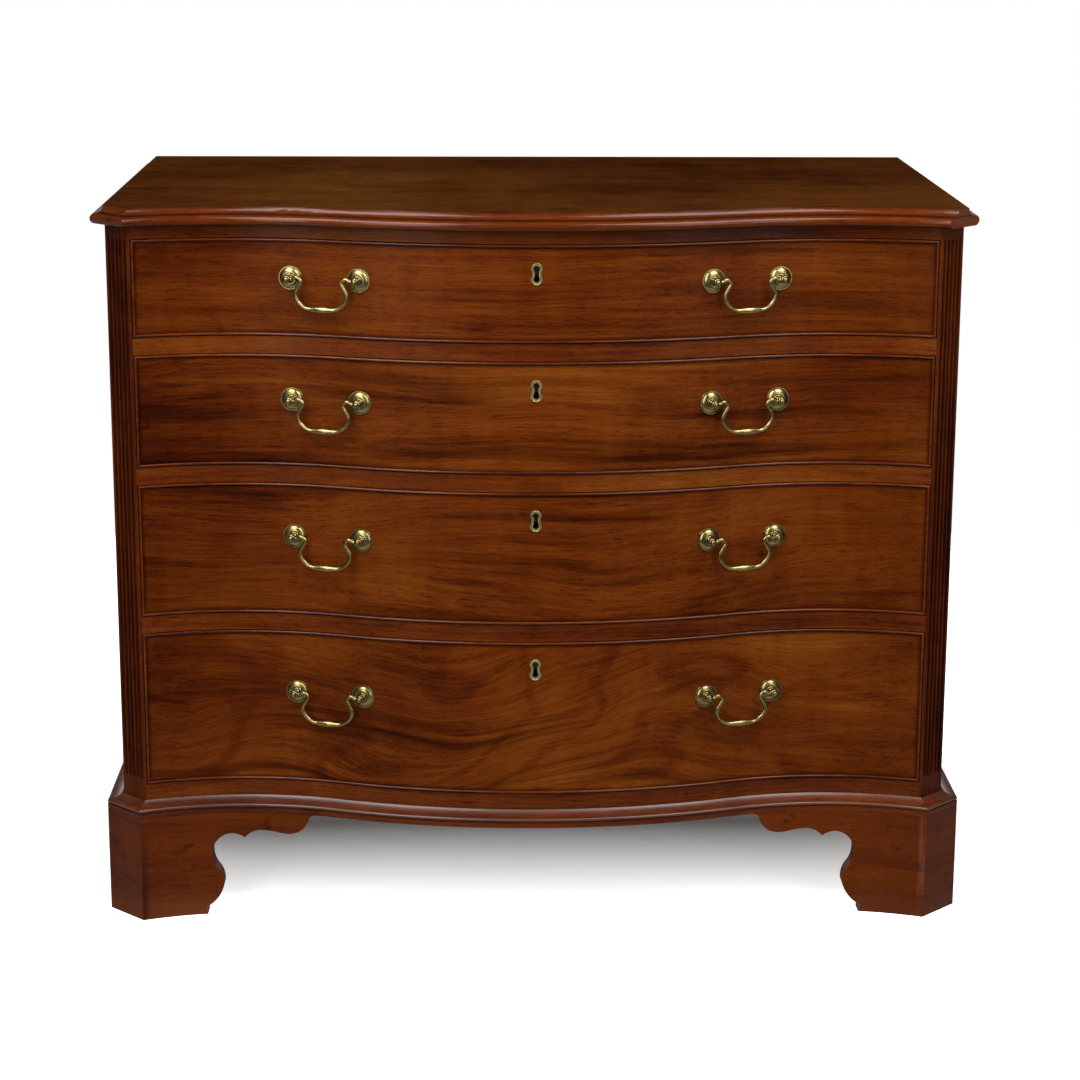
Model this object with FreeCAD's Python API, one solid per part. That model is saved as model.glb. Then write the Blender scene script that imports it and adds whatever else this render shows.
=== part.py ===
"""Serpentine chest of drawers: four cock-beaded drawers in a case on bracket feet.

Lengths are millimetres.  The front faces -Y, +Z is up, and the finished model's origin
lies on the floor under the middle of the top.  While it is drawn, y = 0 is the front
corner of the case sides, and every piece is moved back by half the depth when written.
"""
import FreeCAD, Part
import os
from math import atan2, cos, degrees, hypot, radians, sin, sqrt, tan

# Case
case_width = 1040.0
case_depth = 555.0
side_thickness = 18.0
back_thickness = 12.0
back_rebate = 9.0
back_board_count = 4
board_gap = 0.4

# Serpentine front: a bow in the middle between two hollows, cut off by canted corners
bow_projection = 70.0
hollow_setback = 9.0
hollow_radius = 373.0
hollow_inset = 155.4
cant_reach = 30.8

# Heights, from the floor up
foot_height = 134.5
base_moulding_height = 18.5
bottom_rail_show = 19.5
drawer_openings = {4: 197.2, 3: 167.2, 2: 139.5, 1: 120.0}
rail_thickness = 21.3
top_rail_thickness = 15.7
top_thickness = 22.0

# Top board
top_nose = 17.0
top_nose_root = 10.5
top_nose_height = 12.5
top_arris = 1.5
top_fillet = 2.0
top_cove_in = 1.4
top_cove_down = 1.2
top_back_overhang = 6.5

# Corner posts, with fluted cants
post_face = 33.0
post_return = 25.0
flute_count = 5
flute_pitch = 7.6
flute_radius = 2.9
flute_lift = 0.4
flute_stop_top = 16.0
flute_stop_bottom = 24.0

# Rails, runners, guides, dust boards and bottom
rail_depth = 60.0
tenon_length = 8.0
tenon_width = 20.0
tenon_thickness = 9.0
runner_width = 40.0
runner_thickness = 15.0
dust_board_thickness = 8.0
dust_board_drop = 4.0
groove_depth = 6.0
guide_height = 25.0
bottom_thickness = 16.0
stop_height = 4.5
stop_length = 40.0
stop_depth = 25.0
joinery_gap = 0.1

# Base moulding and feet
base_projection = 20.0
base_fascia = 6.5
moulding_gap = 0.2
base_groove = 1.4
base_nose = 4.2
base_nose_setback = 3.0
base_step = 0.6
base_cove_foot = 2.5
base_cove_in = 0.45
base_cove_up = 0.33
foot_thickness = 24.0
bracket_length = 214.0
block_width = 60.0
block_lift = 12.0
rear_brace_reach = 120.0
rear_brace_thickness = 18.0
rear_brace_toe = 60.0

# Drawers
drawer_gap = 1.0
slide_gap = 0.3
front_thickness = 22.0
front_lap = 1.5
drawer_side = 10.0
drawer_back = 10.0
drawer_bottom = 7.0
drawer_back_room = 8.0
side_drop = 4.0
back_drop = 6.0
bottom_lift = 8.0
bottom_groove = 5.0
tail_count = 4
tail_share = 0.62
tail_margin = 4.0
tail_angle = 9.0
bead_thickness = 3.0
bead_depth = 7.0
bead_proud = 2.0
bead_bevel = 0.9
stop_gap = 0.3

# Locks
lock_width = 60.0
lock_height = 40.0
lock_depth = 10.0
lock_proud = 1.1
lock_plate = 2.0
lock_plate_width = 72.0
lock_plate_margin = 6.0
bolt_width = 20.0
bolt_thickness = 4.0
bolt_height = 26.0
bolt_from_back = 5.0
bolt_sink = 0.3
slot_room = 0.15
mortise_room = 1.5
mortise_depth = 9.0
keyhole_drop = 35.0
key_half_height = 10.2
key_head = 3.6
key_waist = 2.6
key_flare = 3.9
escutcheon_wall = 3.3
escutcheon_depth = 4.2
escutcheon_proud = 0.3

# Handles
handle_inset = 265.0
handle_spread = 83.0
handle_share = 0.4
turned_sides = 16
rose_radius = 14.75
rose_height = 5.2
rose_rim = 1.2
rose_shoulder = 10.4
rose_shoulder_height = 3.7
rose_room = 0.6
contact_gap = 0.05
shank_radius = 2.6
shank_room = 0.15
shank_past_back = 8.0
collar_lift = 6.2
collar_radius = 4.4
collar_step = 0.4
neck_radius = 3.5
head_radius = 5.0
head_length = 8.6
head_bevel = 1.3
button_radius = 3.1
button_height = 1.9
button_bevel = 1.1
pivot_standoff = 12.5
nut_width = 10.0
nut_thickness = 4.0
nut_gap = 0.75
nut_room = 0.1
pin_radius = 2.0
pin_clearance = 0.06
pin_engaged = 3.5
pin_end_room = 0.4
pin_length = 4.5
pin_shoulder = 0.8
pin_overlap = 0.4
rod_radius = 2.6
rod_sides = 8
bend_chords = 3
shoulder_bend = 4.0
hump_reach = 31.0
hump_rise = 2.8
hump_bend = 5.0
neck_reach = 24.2
neck_drop = 1.6
neck_bend = 3.2
bow_reach = 31.8
bow_drop = 21.0
bow_bend = 12.0
grip_reach = 24.5
grip_bend = 13.5
bail_drop = 35.6
grip_half = 14.0
grip_radius = 4.3

floor = FreeCAD.Vector(0, 0, 0)
upright = FreeCAD.Vector(0, 0, 1)

# Values worked out from the sizes above
case_half = case_width / 2
opening_half = case_half - post_face
side_inside = case_half - side_thickness
hollow_x = case_half - hollow_inset
front_rise = bow_projection - hollow_setback
radii_sum = (hollow_x ** 2 + front_rise ** 2) / (2 * front_rise)
bow_radius = radii_sum - hollow_radius
bow_centre_y = bow_radius - bow_projection
hollow_centre_y = -hollow_setback - hollow_radius
meet_angle = degrees(atan2(hollow_x, bow_centre_y - hollow_centre_y))
base_top = foot_height + base_moulding_height
drawer_bottoms = {}
level = base_top + bottom_rail_show
for number, opening in drawer_openings.items():
    drawer_bottoms[number] = level
    level += opening + rail_thickness
case_top = level - rail_thickness + top_rail_thickness
front_reach = bow_projection + max(top_nose, base_projection)
frame_middle = (case_depth + top_back_overhang - front_reach) / 2
shank_inside = front_thickness + shank_past_back


def point(x, y, z):
    return FreeCAD.Vector(x, y, z)


def box(x0, x1, y0, y1, z0, z1):
    return Part.makeBox(x1 - x0, y1 - y0, z1 - z0, point(x0, y0, z0))


def pair(shape):
    """The shape and its mirror image on the other side of the chest."""
    return [shape, shape.mirror(floor, point(1, 0, 0))]


def joined(shapes):
    """One solid from shapes that meet."""
    return shapes[0].multiFuse(shapes[1:]).removeSplitter()


def outline(place, start, *steps):
    """A closed face: a step is a point for a straight run, or (point on arc, end of arc)."""
    edges = []
    here = start
    for step in steps + (start,):
        if isinstance(step[0], tuple):
            on_arc, end = step
            edges.append(Part.Arc(place(*here), place(*on_arc), place(*end)).toShape())
        else:
            end = step
            if end != here:
                edges.append(Part.makeLine(place(*here), place(*end)))
        here = end
    return Part.Face(Part.Wire(edges))


def in_plan(z):
    return lambda x, y: point(x, y, z)


def in_front_view(y):
    return lambda x, z: point(x, y, z)


def in_side_view(x):
    return lambda y, z: point(x, y, z)


def front_y(x, proud=0.0):
    """Depth of the serpentine front at x, for a line that stands proud of the case front."""
    across = abs(x)
    meet = hollow_x * (bow_radius + proud) / radii_sum
    if across < meet:
        return bow_centre_y - sqrt((bow_radius + proud) ** 2 - across ** 2)
    return hollow_centre_y + sqrt((hollow_radius - proud) ** 2 - (across - hollow_x) ** 2)


def front_slope(x):
    """Angle in radians that the front turns away from straight across at x."""
    if abs(x) < hollow_x * bow_radius / radii_sum:
        return atan2(x, sqrt(bow_radius ** 2 - x ** 2))
    from_hollow = (hollow_x - abs(x)) * (1 if x > 0 else -1)
    return atan2(from_hollow, sqrt(hollow_radius ** 2 - from_hollow ** 2))


def front_edges(half, proud, z):
    """The hollow, bow and hollow of the front as three tangent arcs from -half to +half."""
    meet = hollow_x * (bow_radius + proud) / radii_sum
    stops = (-half, -meet, meet, half)
    edges = []
    for left, right in zip(stops, stops[1:]):
        across = (left, (left + right) / 2, right)
        edges.append(Part.Arc(*[point(x, front_y(x, proud), z) for x in across]).toShape())
    return edges


def front_strip(half, proud, inner, z0, z1):
    """A board bent to the front, from the line at proud back to the line at inner."""
    edges = front_edges(half, proud, z0) + front_edges(half, inner, z0)
    for x in (-half, half):
        edges.append(Part.makeLine(point(x, front_y(x, proud), z0), point(x, front_y(x, inner), z0)))
    return Part.Face(Part.Wire(Part.__sortEdges__(edges))).extrude(upright * (z1 - z0))


def front_block(half, proud, back, z0, z1):
    """A board with the serpentine front and a straight back."""
    corners = [point(x, y, z0) for x, y in
               ((half, front_y(half, proud)), (half, back), (-half, back), (-half, front_y(half, proud)))]
    edges = front_edges(half, proud, z0)
    edges += [Part.makeLine(a, b) for a, b in zip(corners, corners[1:])]
    return Part.Face(Part.Wire(Part.__sortEdges__(edges))).extrude(upright * (z1 - z0))


# The canted corner runs from the case side at y = 0 to the end of the serpentine front
cant_end = point(case_half - cant_reach, front_y(case_half - cant_reach), 0)
cant_start = point(case_half, 0, 0)
cant_length = (cant_end - cant_start).Length
cant_along = (cant_end - cant_start) / cant_length
cant_outward = point(-cant_along.y, cant_along.x, 0)


def corner_points(proud):
    """Corners of a line standing proud of the case: side with cant, and cant with front."""
    run = proud * (1 - cant_outward.x) / cant_along.x
    side_corner = cant_start + cant_outward * proud + cant_along * run
    from_centre = cant_start + cant_outward * proud - point(hollow_x, hollow_centre_y, 0)
    toward = from_centre.dot(cant_along)
    reach = toward ** 2 - from_centre.dot(from_centre) + (hollow_radius - proud) ** 2
    front_corner = cant_start + cant_outward * proud + cant_along * (-toward - sqrt(reach))
    return side_corner, front_corner


def case_plate(proud, back, z0, z1):
    """A plate with the plan of the case, proud of it all round but at the back."""
    side_corner, front_corner = corner_points(proud)
    edges = front_edges(front_corner.x, proud, z0)
    for side in (-1, 1):
        line = [point(side * p.x, p.y, z0) for p in (front_corner, side_corner)]
        line.append(point(side * side_corner.x, back, z0))
        edges += [Part.makeLine(a, b) for a, b in zip(line, line[1:])]
    edges.append(Part.makeLine(point(-side_corner.x, back, z0), point(side_corner.x, back, z0)))
    return Part.Face(Part.Wire(Part.__sortEdges__(edges))).extrude(upright * (z1 - z0))


def along_bow(*profile):
    """Sweep a (proud, height) profile round the bow in the middle of the front."""
    centre = point(0, bow_centre_y, 0)
    face = outline(lambda p, z: point(0, bow_centre_y - bow_radius - p, z), *profile)
    face.rotate(centre, upright, -meet_angle)
    return face.revolve(centre, upright, 2 * meet_angle)


def along_hollow(*profile):
    """Sweep a profile round the right-hand hollow, on past the corner."""
    past_corner = 15.0
    centre = point(hollow_x, hollow_centre_y, 0)
    end_angle = degrees(atan2(cant_end.x - hollow_x, cant_end.y - hollow_centre_y)) + past_corner
    face = outline(lambda p, z: point(hollow_x, hollow_centre_y + hollow_radius - p, z), *profile)
    face.rotate(centre, upright, -end_angle)
    return face.revolve(centre, upright, meet_angle + end_angle)


def along_front(*profile):
    return joined([along_bow(*profile)] + pair(along_hollow(*profile)))


def along_cant(*profile):
    """Sweep a profile along the right-hand cant, well past both of its corners."""
    past = cant_length
    begin = cant_start - cant_along * past
    face = outline(lambda p, z: begin + cant_outward * p + upright * z, *profile)
    return face.extrude(cant_along * (3 * past))


def along_side(*profile):
    """Sweep a profile along the right-hand side, from before the corner to the back."""
    begin = -2 * cant_length
    face = outline(lambda p, z: point(case_half + p, begin, z), *profile)
    return face.extrude(point(0, 2 * case_depth - begin, 0))


def mitred(inner, outer, *profile):
    """Front, cant and side lengths of a moulding, mitred at the corners of the case."""
    well_past = 3
    side_in, front_in = corner_points(inner)
    side_out, front_out = corner_points(outer)
    side_run = (side_out - side_in) * well_past
    front_run = (front_out - front_in) * well_past
    side_line = (side_in - side_run, side_out + side_run)
    front_line = (front_in - front_run, front_out + front_run)

    def trimmed(piece, corners):
        wire = Part.makePolygon([point(p.x, p.y, -case_top) for p in corners + corners[:1]])
        return piece.common(Part.Face(wire).extrude(upright * (2 * case_top)))

    far = 2 * case_depth
    cant_corners = [side_line[0], side_line[1], front_line[1], front_line[0]]
    side_corners = list(side_line) + [point(side_line[1].x, far, 0), point(side_line[0].x, far, 0)]
    half_front = [front_line[0], front_line[1], point(front_line[1].x, -far, 0)]
    front_corners = half_front + [point(-p.x, p.y, 0) for p in reversed(half_front)]
    front = trimmed(along_front(*profile), front_corners)
    cant = trimmed(along_cant(*profile), cant_corners)
    side = trimmed(along_side(*profile), side_corners)
    return front, cant, side


def export(node, shapes):
    """Write one node, moved to the finished model's origin."""
    whole = Part.makeCompound(shapes) if len(shapes) > 1 else shapes[0]
    moved = whole.copy()
    moved.translate(point(0, -frame_middle, 0))
    moved.exportStep("parts/" + node + ".step")


def top_board():
    """The top, moulded with a nose under a cove and a fillet on the front, cants and sides."""
    low, high = case_top, case_top + top_thickness
    nose_top = low + top_nose_height
    cove_top = high - top_fillet
    in_cove = ((top_arris + top_nose_root) / 2 - top_cove_in, (nose_top + cove_top) / 2 - top_cove_down)
    clear = 2 * top_nose
    cut_away = (
        (top_nose_root, low),
        ((top_nose, low + top_nose_height / 2), (top_nose_root, nose_top)),
        (in_cove, (top_arris, cove_top)),
        (top_arris, high + 1),
        (clear, high + 1),
        (clear, low - 1),
        (top_nose_root, low - 1),
    )
    board = case_plate(top_nose + 1, case_depth + top_back_overhang, low, high)
    cutters = [along_bow(*cut_away)]
    for length in (along_hollow(*cut_away), along_cant(*cut_away), along_side(*cut_away)):
        cutters += pair(length)
    for cutter in cutters:
        board = board.cut(cutter)
    return board


def side_panel():
    """Right-hand side, rebated at the back for the back boards."""
    panel = box(side_inside, case_half, 0, case_depth, foot_height, case_top)
    rebate = box(side_inside - 1, side_inside + back_rebate, case_depth - back_thickness, case_depth + 1,
                 foot_height - 1, case_top + 1)
    return panel.cut(rebate)


def rail_levels():
    """Underside and top of every rail, by name, from the bottom up."""
    levels = {"bottom": (foot_height, drawer_bottoms[4])}
    for name, number in (("lower", 3), ("middle", 2), ("upper", 1)):
        levels[name] = (drawer_bottoms[number] - rail_thickness, drawer_bottoms[number])
    levels["top"] = (case_top - top_rail_thickness, case_top)
    return levels


def tenon(level, gap):
    """Stub tenon on the right-hand end of a rail, or its mortise when gap is the room round it."""
    low, high = level
    middle = (low + high) / 2
    half = tenon_thickness / 2 + gap
    y_middle = post_return / 4
    return box(opening_half - 1, opening_half + tenon_length + gap, y_middle - tenon_width / 2 - gap,
               y_middle + tenon_width / 2 + gap, middle - half, middle + half)


def rail(level, bolt_mortise):
    """A drawer rail with its tenons, and the mortise for the lock bolt of the drawer below."""
    low, high = level
    body = joined([front_block(opening_half, 0, rail_depth, low, high)] + pair(tenon(level, 0)))
    if bolt_mortise:
        middle_y = front_y(0, -front_thickness) - bolt_from_back
        body = body.cut(box(-bolt_width / 2 - mortise_room, bolt_width / 2 + mortise_room,
                            middle_y - bolt_thickness / 2 - mortise_room,
                            middle_y + bolt_thickness / 2 + mortise_room,
                            low - 1, low + mortise_depth))
    return body


def corner_post():
    """Right-hand corner post: canted, fluted between plain ends, and mortised for the rails."""
    plan = outline(in_plan(foot_height),
                   (case_half, 0), (cant_end.x, cant_end.y), (opening_half, front_y(opening_half)),
                   (opening_half, post_return), (side_inside, post_return), (side_inside, 0))
    post = plan.extrude(upright * (case_top - foot_height))
    low = drawer_bottoms[4] + flute_stop_bottom - bottom_rail_show
    high = case_top - flute_stop_top
    middle = (cant_start + cant_end) / 2 + cant_outward * flute_lift
    for index in range(flute_count):
        axis = middle + cant_along * ((index - (flute_count - 1) / 2) * flute_pitch)
        foot = axis + upright * (low + flute_radius)
        head = axis + upright * (high - flute_radius)
        post = post.cut(Part.makeCylinder(flute_radius, head.z - foot.z, foot))
        for end in (foot, head):
            post = post.cut(Part.makeSphere(flute_radius, end))
    for level in rail_levels().values():
        post = post.cut(tenon(level, joinery_gap))
    return post


def back_boards():
    """Horizontal boards nailed into the rebates of the sides."""
    half = side_inside + back_rebate - board_gap
    height = (case_top - foot_height) / back_board_count
    boards = []
    for index in range(back_board_count):
        low = foot_height + index * height
        high = low + height - board_gap
        boards.append(box(-half, half, inner_back(), case_depth, low, high))
    return boards


def inner_back():
    return case_depth - back_thickness


def dust_board(top, gap):
    """Thin board between two drawers, let into the rail and runners; gap is the room in its groove."""
    half = side_inside - runner_width + groove_depth + gap
    high = top - dust_board_drop + gap
    low = top - dust_board_drop - dust_board_thickness - gap
    return box(-half, half, rail_depth - groove_depth - gap, inner_back() - 1, low, high)


def runner(top):
    """Right-hand bearer that a drawer side slides on, level with the rail in front of it."""
    low = top - runner_thickness
    return box(side_inside - runner_width, side_inside, rail_depth, inner_back(), low, top)


def guide(top):
    """Strip above the right-hand runner that keeps the drawer off the side of the case."""
    return box(opening_half, side_inside, rail_depth, inner_back(), top, top + guide_height)


def drawer_stop(top):
    """Block on the rail that the back of a drawer front meets when the drawer is shut."""
    middle = hollow_x
    face = max(front_y(middle + side * stop_length / 2, -front_thickness) for side in (-1, 1))
    face = max(face, front_y(middle, -front_thickness)) + stop_gap
    half = stop_length / 2
    return box(middle - half, middle + half, face, face + stop_depth, top, top + stop_height)


def bottom_board():
    high = drawer_bottoms[4] - runner_thickness
    return box(-side_inside, side_inside, rail_depth, inner_back(), high - bottom_thickness, high)


def base_moulding():
    """Flat ogee over a groove and a fascia, mitred round the front, cants and sides."""
    groove = foot_height + base_fascia
    nose = groove + base_groove
    nose_top = nose + base_nose
    back_in = base_projection - base_nose_setback
    in_cove = (back_in * base_cove_in, nose_top + (base_top - nose_top) * base_cove_up)
    profile = (
        (moulding_gap, foot_height),
        (base_projection, foot_height),
        (base_projection, groove),
        ((base_projection - base_groove, groove + base_groove / 2), (base_projection - base_step, nose)),
        ((base_projection, nose + base_nose / 2), (back_in, nose_top)),
        (in_cove, (base_cove_foot, base_top)),
        (moulding_gap, base_top),
    )
    front, cant, side = mitred(0, base_projection, *profile)
    side = side.common(box(0, case_width, -case_depth, case_depth, foot_height, base_top))
    return [front] + pair(cant) + pair(side)


def bracket_pattern(place, reach):
    """Face of a bracket foot, toe inwards; reach 0 is the corner of the foot, full reach its far end.

    The pattern is drawn at one size, from well past the corner, and stretched to the foot.
    """
    drawn_length, drawn_height, past_corner = 214.0, 134.5, -60
    along = bracket_length / drawn_length
    up = foot_height / drawn_height

    def stretched(u, z):
        return place(reach(u * along), z * up)

    return outline(
        stretched,
        (past_corner, 0), (80, 0), (77.5, 9),
        ((93, 21.5), (101, 38)), ((99.4, 50), (94, 60.5)),
        ((89, 70), (87.5, 80)), ((93.5, 98.5), (111, 107.8)), ((120.5, 106), (128.4, 101.6)),
        ((138, 109.3), (152.3, 111.7)), ((161, 111), (168.5, 109.7)),
        ((176.5, 108.1), (184.2, 107.7)), ((201, 114), (209.5, 127)), ((212, 132), (218, drawn_height)),
        (past_corner, drawn_height),
    )


def foot_lengths():
    """Front, cant and side boards that the right-hand feet are cut from."""
    inner = base_projection - foot_thickness
    profile = ((inner, 0), (base_projection, 0), (base_projection, foot_height), (inner, foot_height))
    return mitred(inner, base_projection, *profile)


def front_foot():
    """Right-hand front foot: front bracket, canted corner and side bracket, mitred together."""
    front, cant, side = foot_lengths()
    side_corner, front_corner = corner_points(base_projection)
    front_pattern = bracket_pattern(in_front_view(-case_depth), lambda u: front_corner.x - u)
    side_pattern = bracket_pattern(in_side_view(0), lambda u: side_corner.y + u)
    front = front.common(front_pattern.extrude(point(0, 2 * case_depth, 0)))
    side = side.common(side_pattern.extrude(point(case_width, 0, 0)))
    return [front, cant, side]


def rear_foot():
    """Right-hand rear foot: side bracket, and a brace across the back."""
    side = foot_lengths()[2]
    side_pattern = bracket_pattern(in_side_view(0), lambda u: case_depth - u)
    side = side.common(side_pattern.extrude(point(case_width, 0, 0)))
    side = side.common(box(0, case_width, 0, case_depth, 0, foot_height))
    inside = case_half + base_projection - foot_thickness
    brace = outline(in_front_view(case_depth - rear_brace_thickness),
                    (inside, 0), (inside, foot_height), (inside - rear_brace_reach, foot_height),
                    (inside - rear_brace_toe, 0))
    return [side, brace.extrude(point(0, rear_brace_thickness, 0))]


def foot_blocks():
    """Glue blocks inside the right-hand feet, fitted to the backs of the brackets."""
    inner = base_projection - foot_thickness - joinery_gap
    edge = case_half + inner
    plan = case_plate(inner, case_depth - rear_brace_thickness - joinery_gap, block_lift, foot_height)
    front = plan.common(box(edge - block_width, edge, -case_depth, block_width, 0, foot_height))
    rear_y = case_depth - rear_brace_thickness
    rear = plan.common(box(edge - block_width, edge, rear_y - block_width, rear_y, 0, foot_height))
    return [front, rear]


def tails(near, far, low, high, x0, x1, gap):
    """Dovetails in a drawer side, widening from near to far along y; gap is the room in a socket."""
    pitch = (high - low) / tail_count
    spread = abs(far - near) * tan(radians(tail_angle))
    solids = []
    for index in range(tail_count):
        middle = low + (index + 0.5) * pitch
        root = pitch * tail_share / 2 + gap
        tip = root + spread
        face = outline(in_side_view(x0 - gap), (near, middle - root), (far, middle - tip),
                       (far, middle + tip), (near, middle + root))
        solids.append(face.extrude(point(x1 - x0 + 2 * gap, 0, 0)))
    return solids


class Drawer:
    """Sizes and pieces of one drawer, from its number: 1 is at the top."""

    def __init__(self, number):
        self.low = drawer_bottoms[number] + drawer_gap
        self.high = drawer_bottoms[number] + drawer_openings[number] - drawer_gap
        self.half = opening_half - drawer_gap
        self.side_low = drawer_bottoms[number] + slide_gap
        self.side_high = self.high - side_drop
        self.board_low = drawer_bottoms[number] + bottom_lift
        self.tail_root = front_y(self.half - drawer_side, -front_thickness)
        self.tail_tip = front_y(self.half - bead_thickness, -bead_depth) + front_lap
        self.back_face = inner_back() - drawer_back_room - drawer_back
        self.handle_z = self.high - handle_share * (self.high - self.low)

    def front_tails(self, gap):
        return tails(self.tail_root + gap, self.tail_tip - gap, self.low + tail_margin,
                     self.side_high, self.half - drawer_side, self.half, gap)

    def back_tails(self, gap):
        return tails(self.back_face - gap, self.back_face + drawer_back + gap,
                     self.board_low + drawer_bottom, self.side_high - back_drop,
                     self.half - drawer_side, self.half, gap)

    def bottom(self, gap):
        """Bottom board, bowed in front, let into the front and sides; gap is the room in its groove."""
        half = self.half - drawer_side + bottom_groove + gap
        return front_block(half, bottom_groove - front_thickness + gap, self.back_face + drawer_back,
                           self.board_low - gap, self.board_low + drawer_bottom + gap)

    def front(self):
        """Bowed front with a rebate for the beads, sockets, bottom groove, lock recess and holes."""
        core = front_strip(self.half - bead_thickness, 0, -front_thickness,
                           self.low + bead_thickness, self.high - bead_thickness)
        behind = front_strip(self.half, -bead_depth, -front_thickness, self.low, self.high)
        board = joined([core, behind])
        for socket in self.front_tails(joinery_gap):
            for side in pair(socket):
                board = board.cut(side)
        board = board.cut(self.bottom(joinery_gap))
        board = board.cut(self.lock_case(joinery_gap))
        board = board.cut(self.lock_case(joinery_gap).translated(point(0, lock_depth / 2, 0)))
        board = board.cut(self.keyhole(escutcheon_wall + joinery_gap, -1, escutcheon_depth))
        board = board.cut(self.keyhole(0, -1, front_thickness))
        for post in handle_posts():
            for hole in pair(post.shank(self.handle_z, shank_radius + shank_room)):
                board = board.cut(hole)
        return board

    def side(self):
        """Right-hand side with tails at both ends and a groove for the bottom."""
        inside = self.half - drawer_side
        board = box(inside, self.half, self.tail_root, self.back_face, self.side_low, self.side_high)
        board = joined([board] + self.front_tails(0) + self.back_tails(0))
        return board.cut(self.bottom(joinery_gap))

    def back(self):
        board = box(-self.half, self.half, self.back_face + joinery_gap, self.back_face + drawer_back,
                    self.board_low + drawer_bottom + joinery_gap, self.side_high - back_drop)
        for socket in self.back_tails(joinery_gap):
            for side in pair(socket):
                board = board.cut(side)
        return board

    def cock_beads(self):
        """Rounded beads let into the edges of the front and mitred at its corners."""
        low, high = self.low, self.high

        def run(z0):
            profile = ((-bead_depth, z0), (bead_proud - bead_bevel, z0), (bead_proud, z0 + bead_bevel),
                       (bead_proud, z0 + bead_thickness - bead_bevel),
                       (bead_proud - bead_bevel, z0 + bead_thickness), (-bead_depth, z0 + bead_thickness))
            return along_front(*profile)

        outer, inner = self.half, self.half - bead_thickness
        rising = outline(in_plan(low), *[(x, front_y(x, proud)) for x, proud in (
            (inner, -bead_depth), (outer, -bead_depth), (outer, bead_proud - bead_bevel),
            (outer - bead_bevel, bead_proud), (inner + bead_bevel, bead_proud),
            (inner, bead_proud - bead_bevel))])
        rising = rising.extrude(upright * (high - low))
        in_low, in_high = low + bead_thickness, high - bead_thickness
        far = point(0, 2 * case_depth, 0)
        start = in_front_view(-case_depth)
        top = outline(start, (-outer, high), (-inner, in_high), (inner, in_high), (outer, high)).extrude(far)
        foot = outline(start, (-outer, low), (-inner, in_low), (inner, in_low), (outer, low)).extrude(far)
        end = outline(start, (outer, low), (outer, high), (inner, in_high), (inner, in_low)).extrude(far)
        beads = [run(in_high).common(top), run(low).common(foot)]
        return beads + pair(rising.common(end))

    def keyhole(self, grow, start, depth):
        """Keyhole through the middle of the front: round above, flared below, grown all round."""
        z = self.high - keyhole_drop
        head, waist, flare = key_head + grow, key_waist + grow, key_flare + grow
        up = key_half_height + grow
        face = outline(lambda x, h: point(x, front_y(0) + start, z + h),
                       (-waist, key_head), ((0, up), (waist, key_head)), (waist, -key_head / 2),
                       (flare, head - up), ((0, -up), (-flare, head - up)), (-waist, -key_head / 2))
        return face.extrude(point(0, depth - start, 0))

    def escutcheon(self):
        ring = self.keyhole(escutcheon_wall, -escutcheon_proud, escutcheon_depth - joinery_gap)
        return ring.cut(self.keyhole(0, -1, escutcheon_depth + 1))

    def lock_case(self, gap):
        """The body of the lock, behind the keyhole; with a gap it is the recess in the front."""
        back = front_y(0, -front_thickness)
        return box(-lock_width / 2 - gap, lock_width / 2 + gap, back - lock_depth - gap, back + lock_proud,
                   self.high - lock_height - gap, self.high + (1 if gap else 0))

    def lock(self):
        """Lock case on its plate, slotted for the bolt and the key."""
        back = front_y(0, -front_thickness) + lock_proud
        plate = box(-lock_plate_width / 2, lock_plate_width / 2, back, back + lock_plate,
                    self.high - lock_height - lock_plate_margin, self.high)
        body = joined([self.lock_case(0), plate])
        body = body.cut(self.bolt(slot_room))
        return body.cut(self.keyhole(0, -1, front_thickness - lock_proud))

    def bolt(self, gap):
        """Lock bolt, drawn back below the top of the front; with a gap it is its slot, open above."""
        middle = front_y(0, -front_thickness) - bolt_from_back
        top = self.high + (1 if gap else -bolt_sink)
        return box(-bolt_width / 2 - gap, bolt_width / 2 + gap, middle - bolt_thickness / 2 - gap,
                   middle + bolt_thickness / 2 + gap, self.high - bolt_height - gap, top)

    def handle_hardware(self):
        """Rose, post and nut at both ends of both handles."""
        solids = []
        for post in handle_posts():
            for piece in (post.rose(self.handle_z), post.post(self.handle_z), post.nut(self.handle_z)):
                solids += pair(piece)
        return solids


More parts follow.
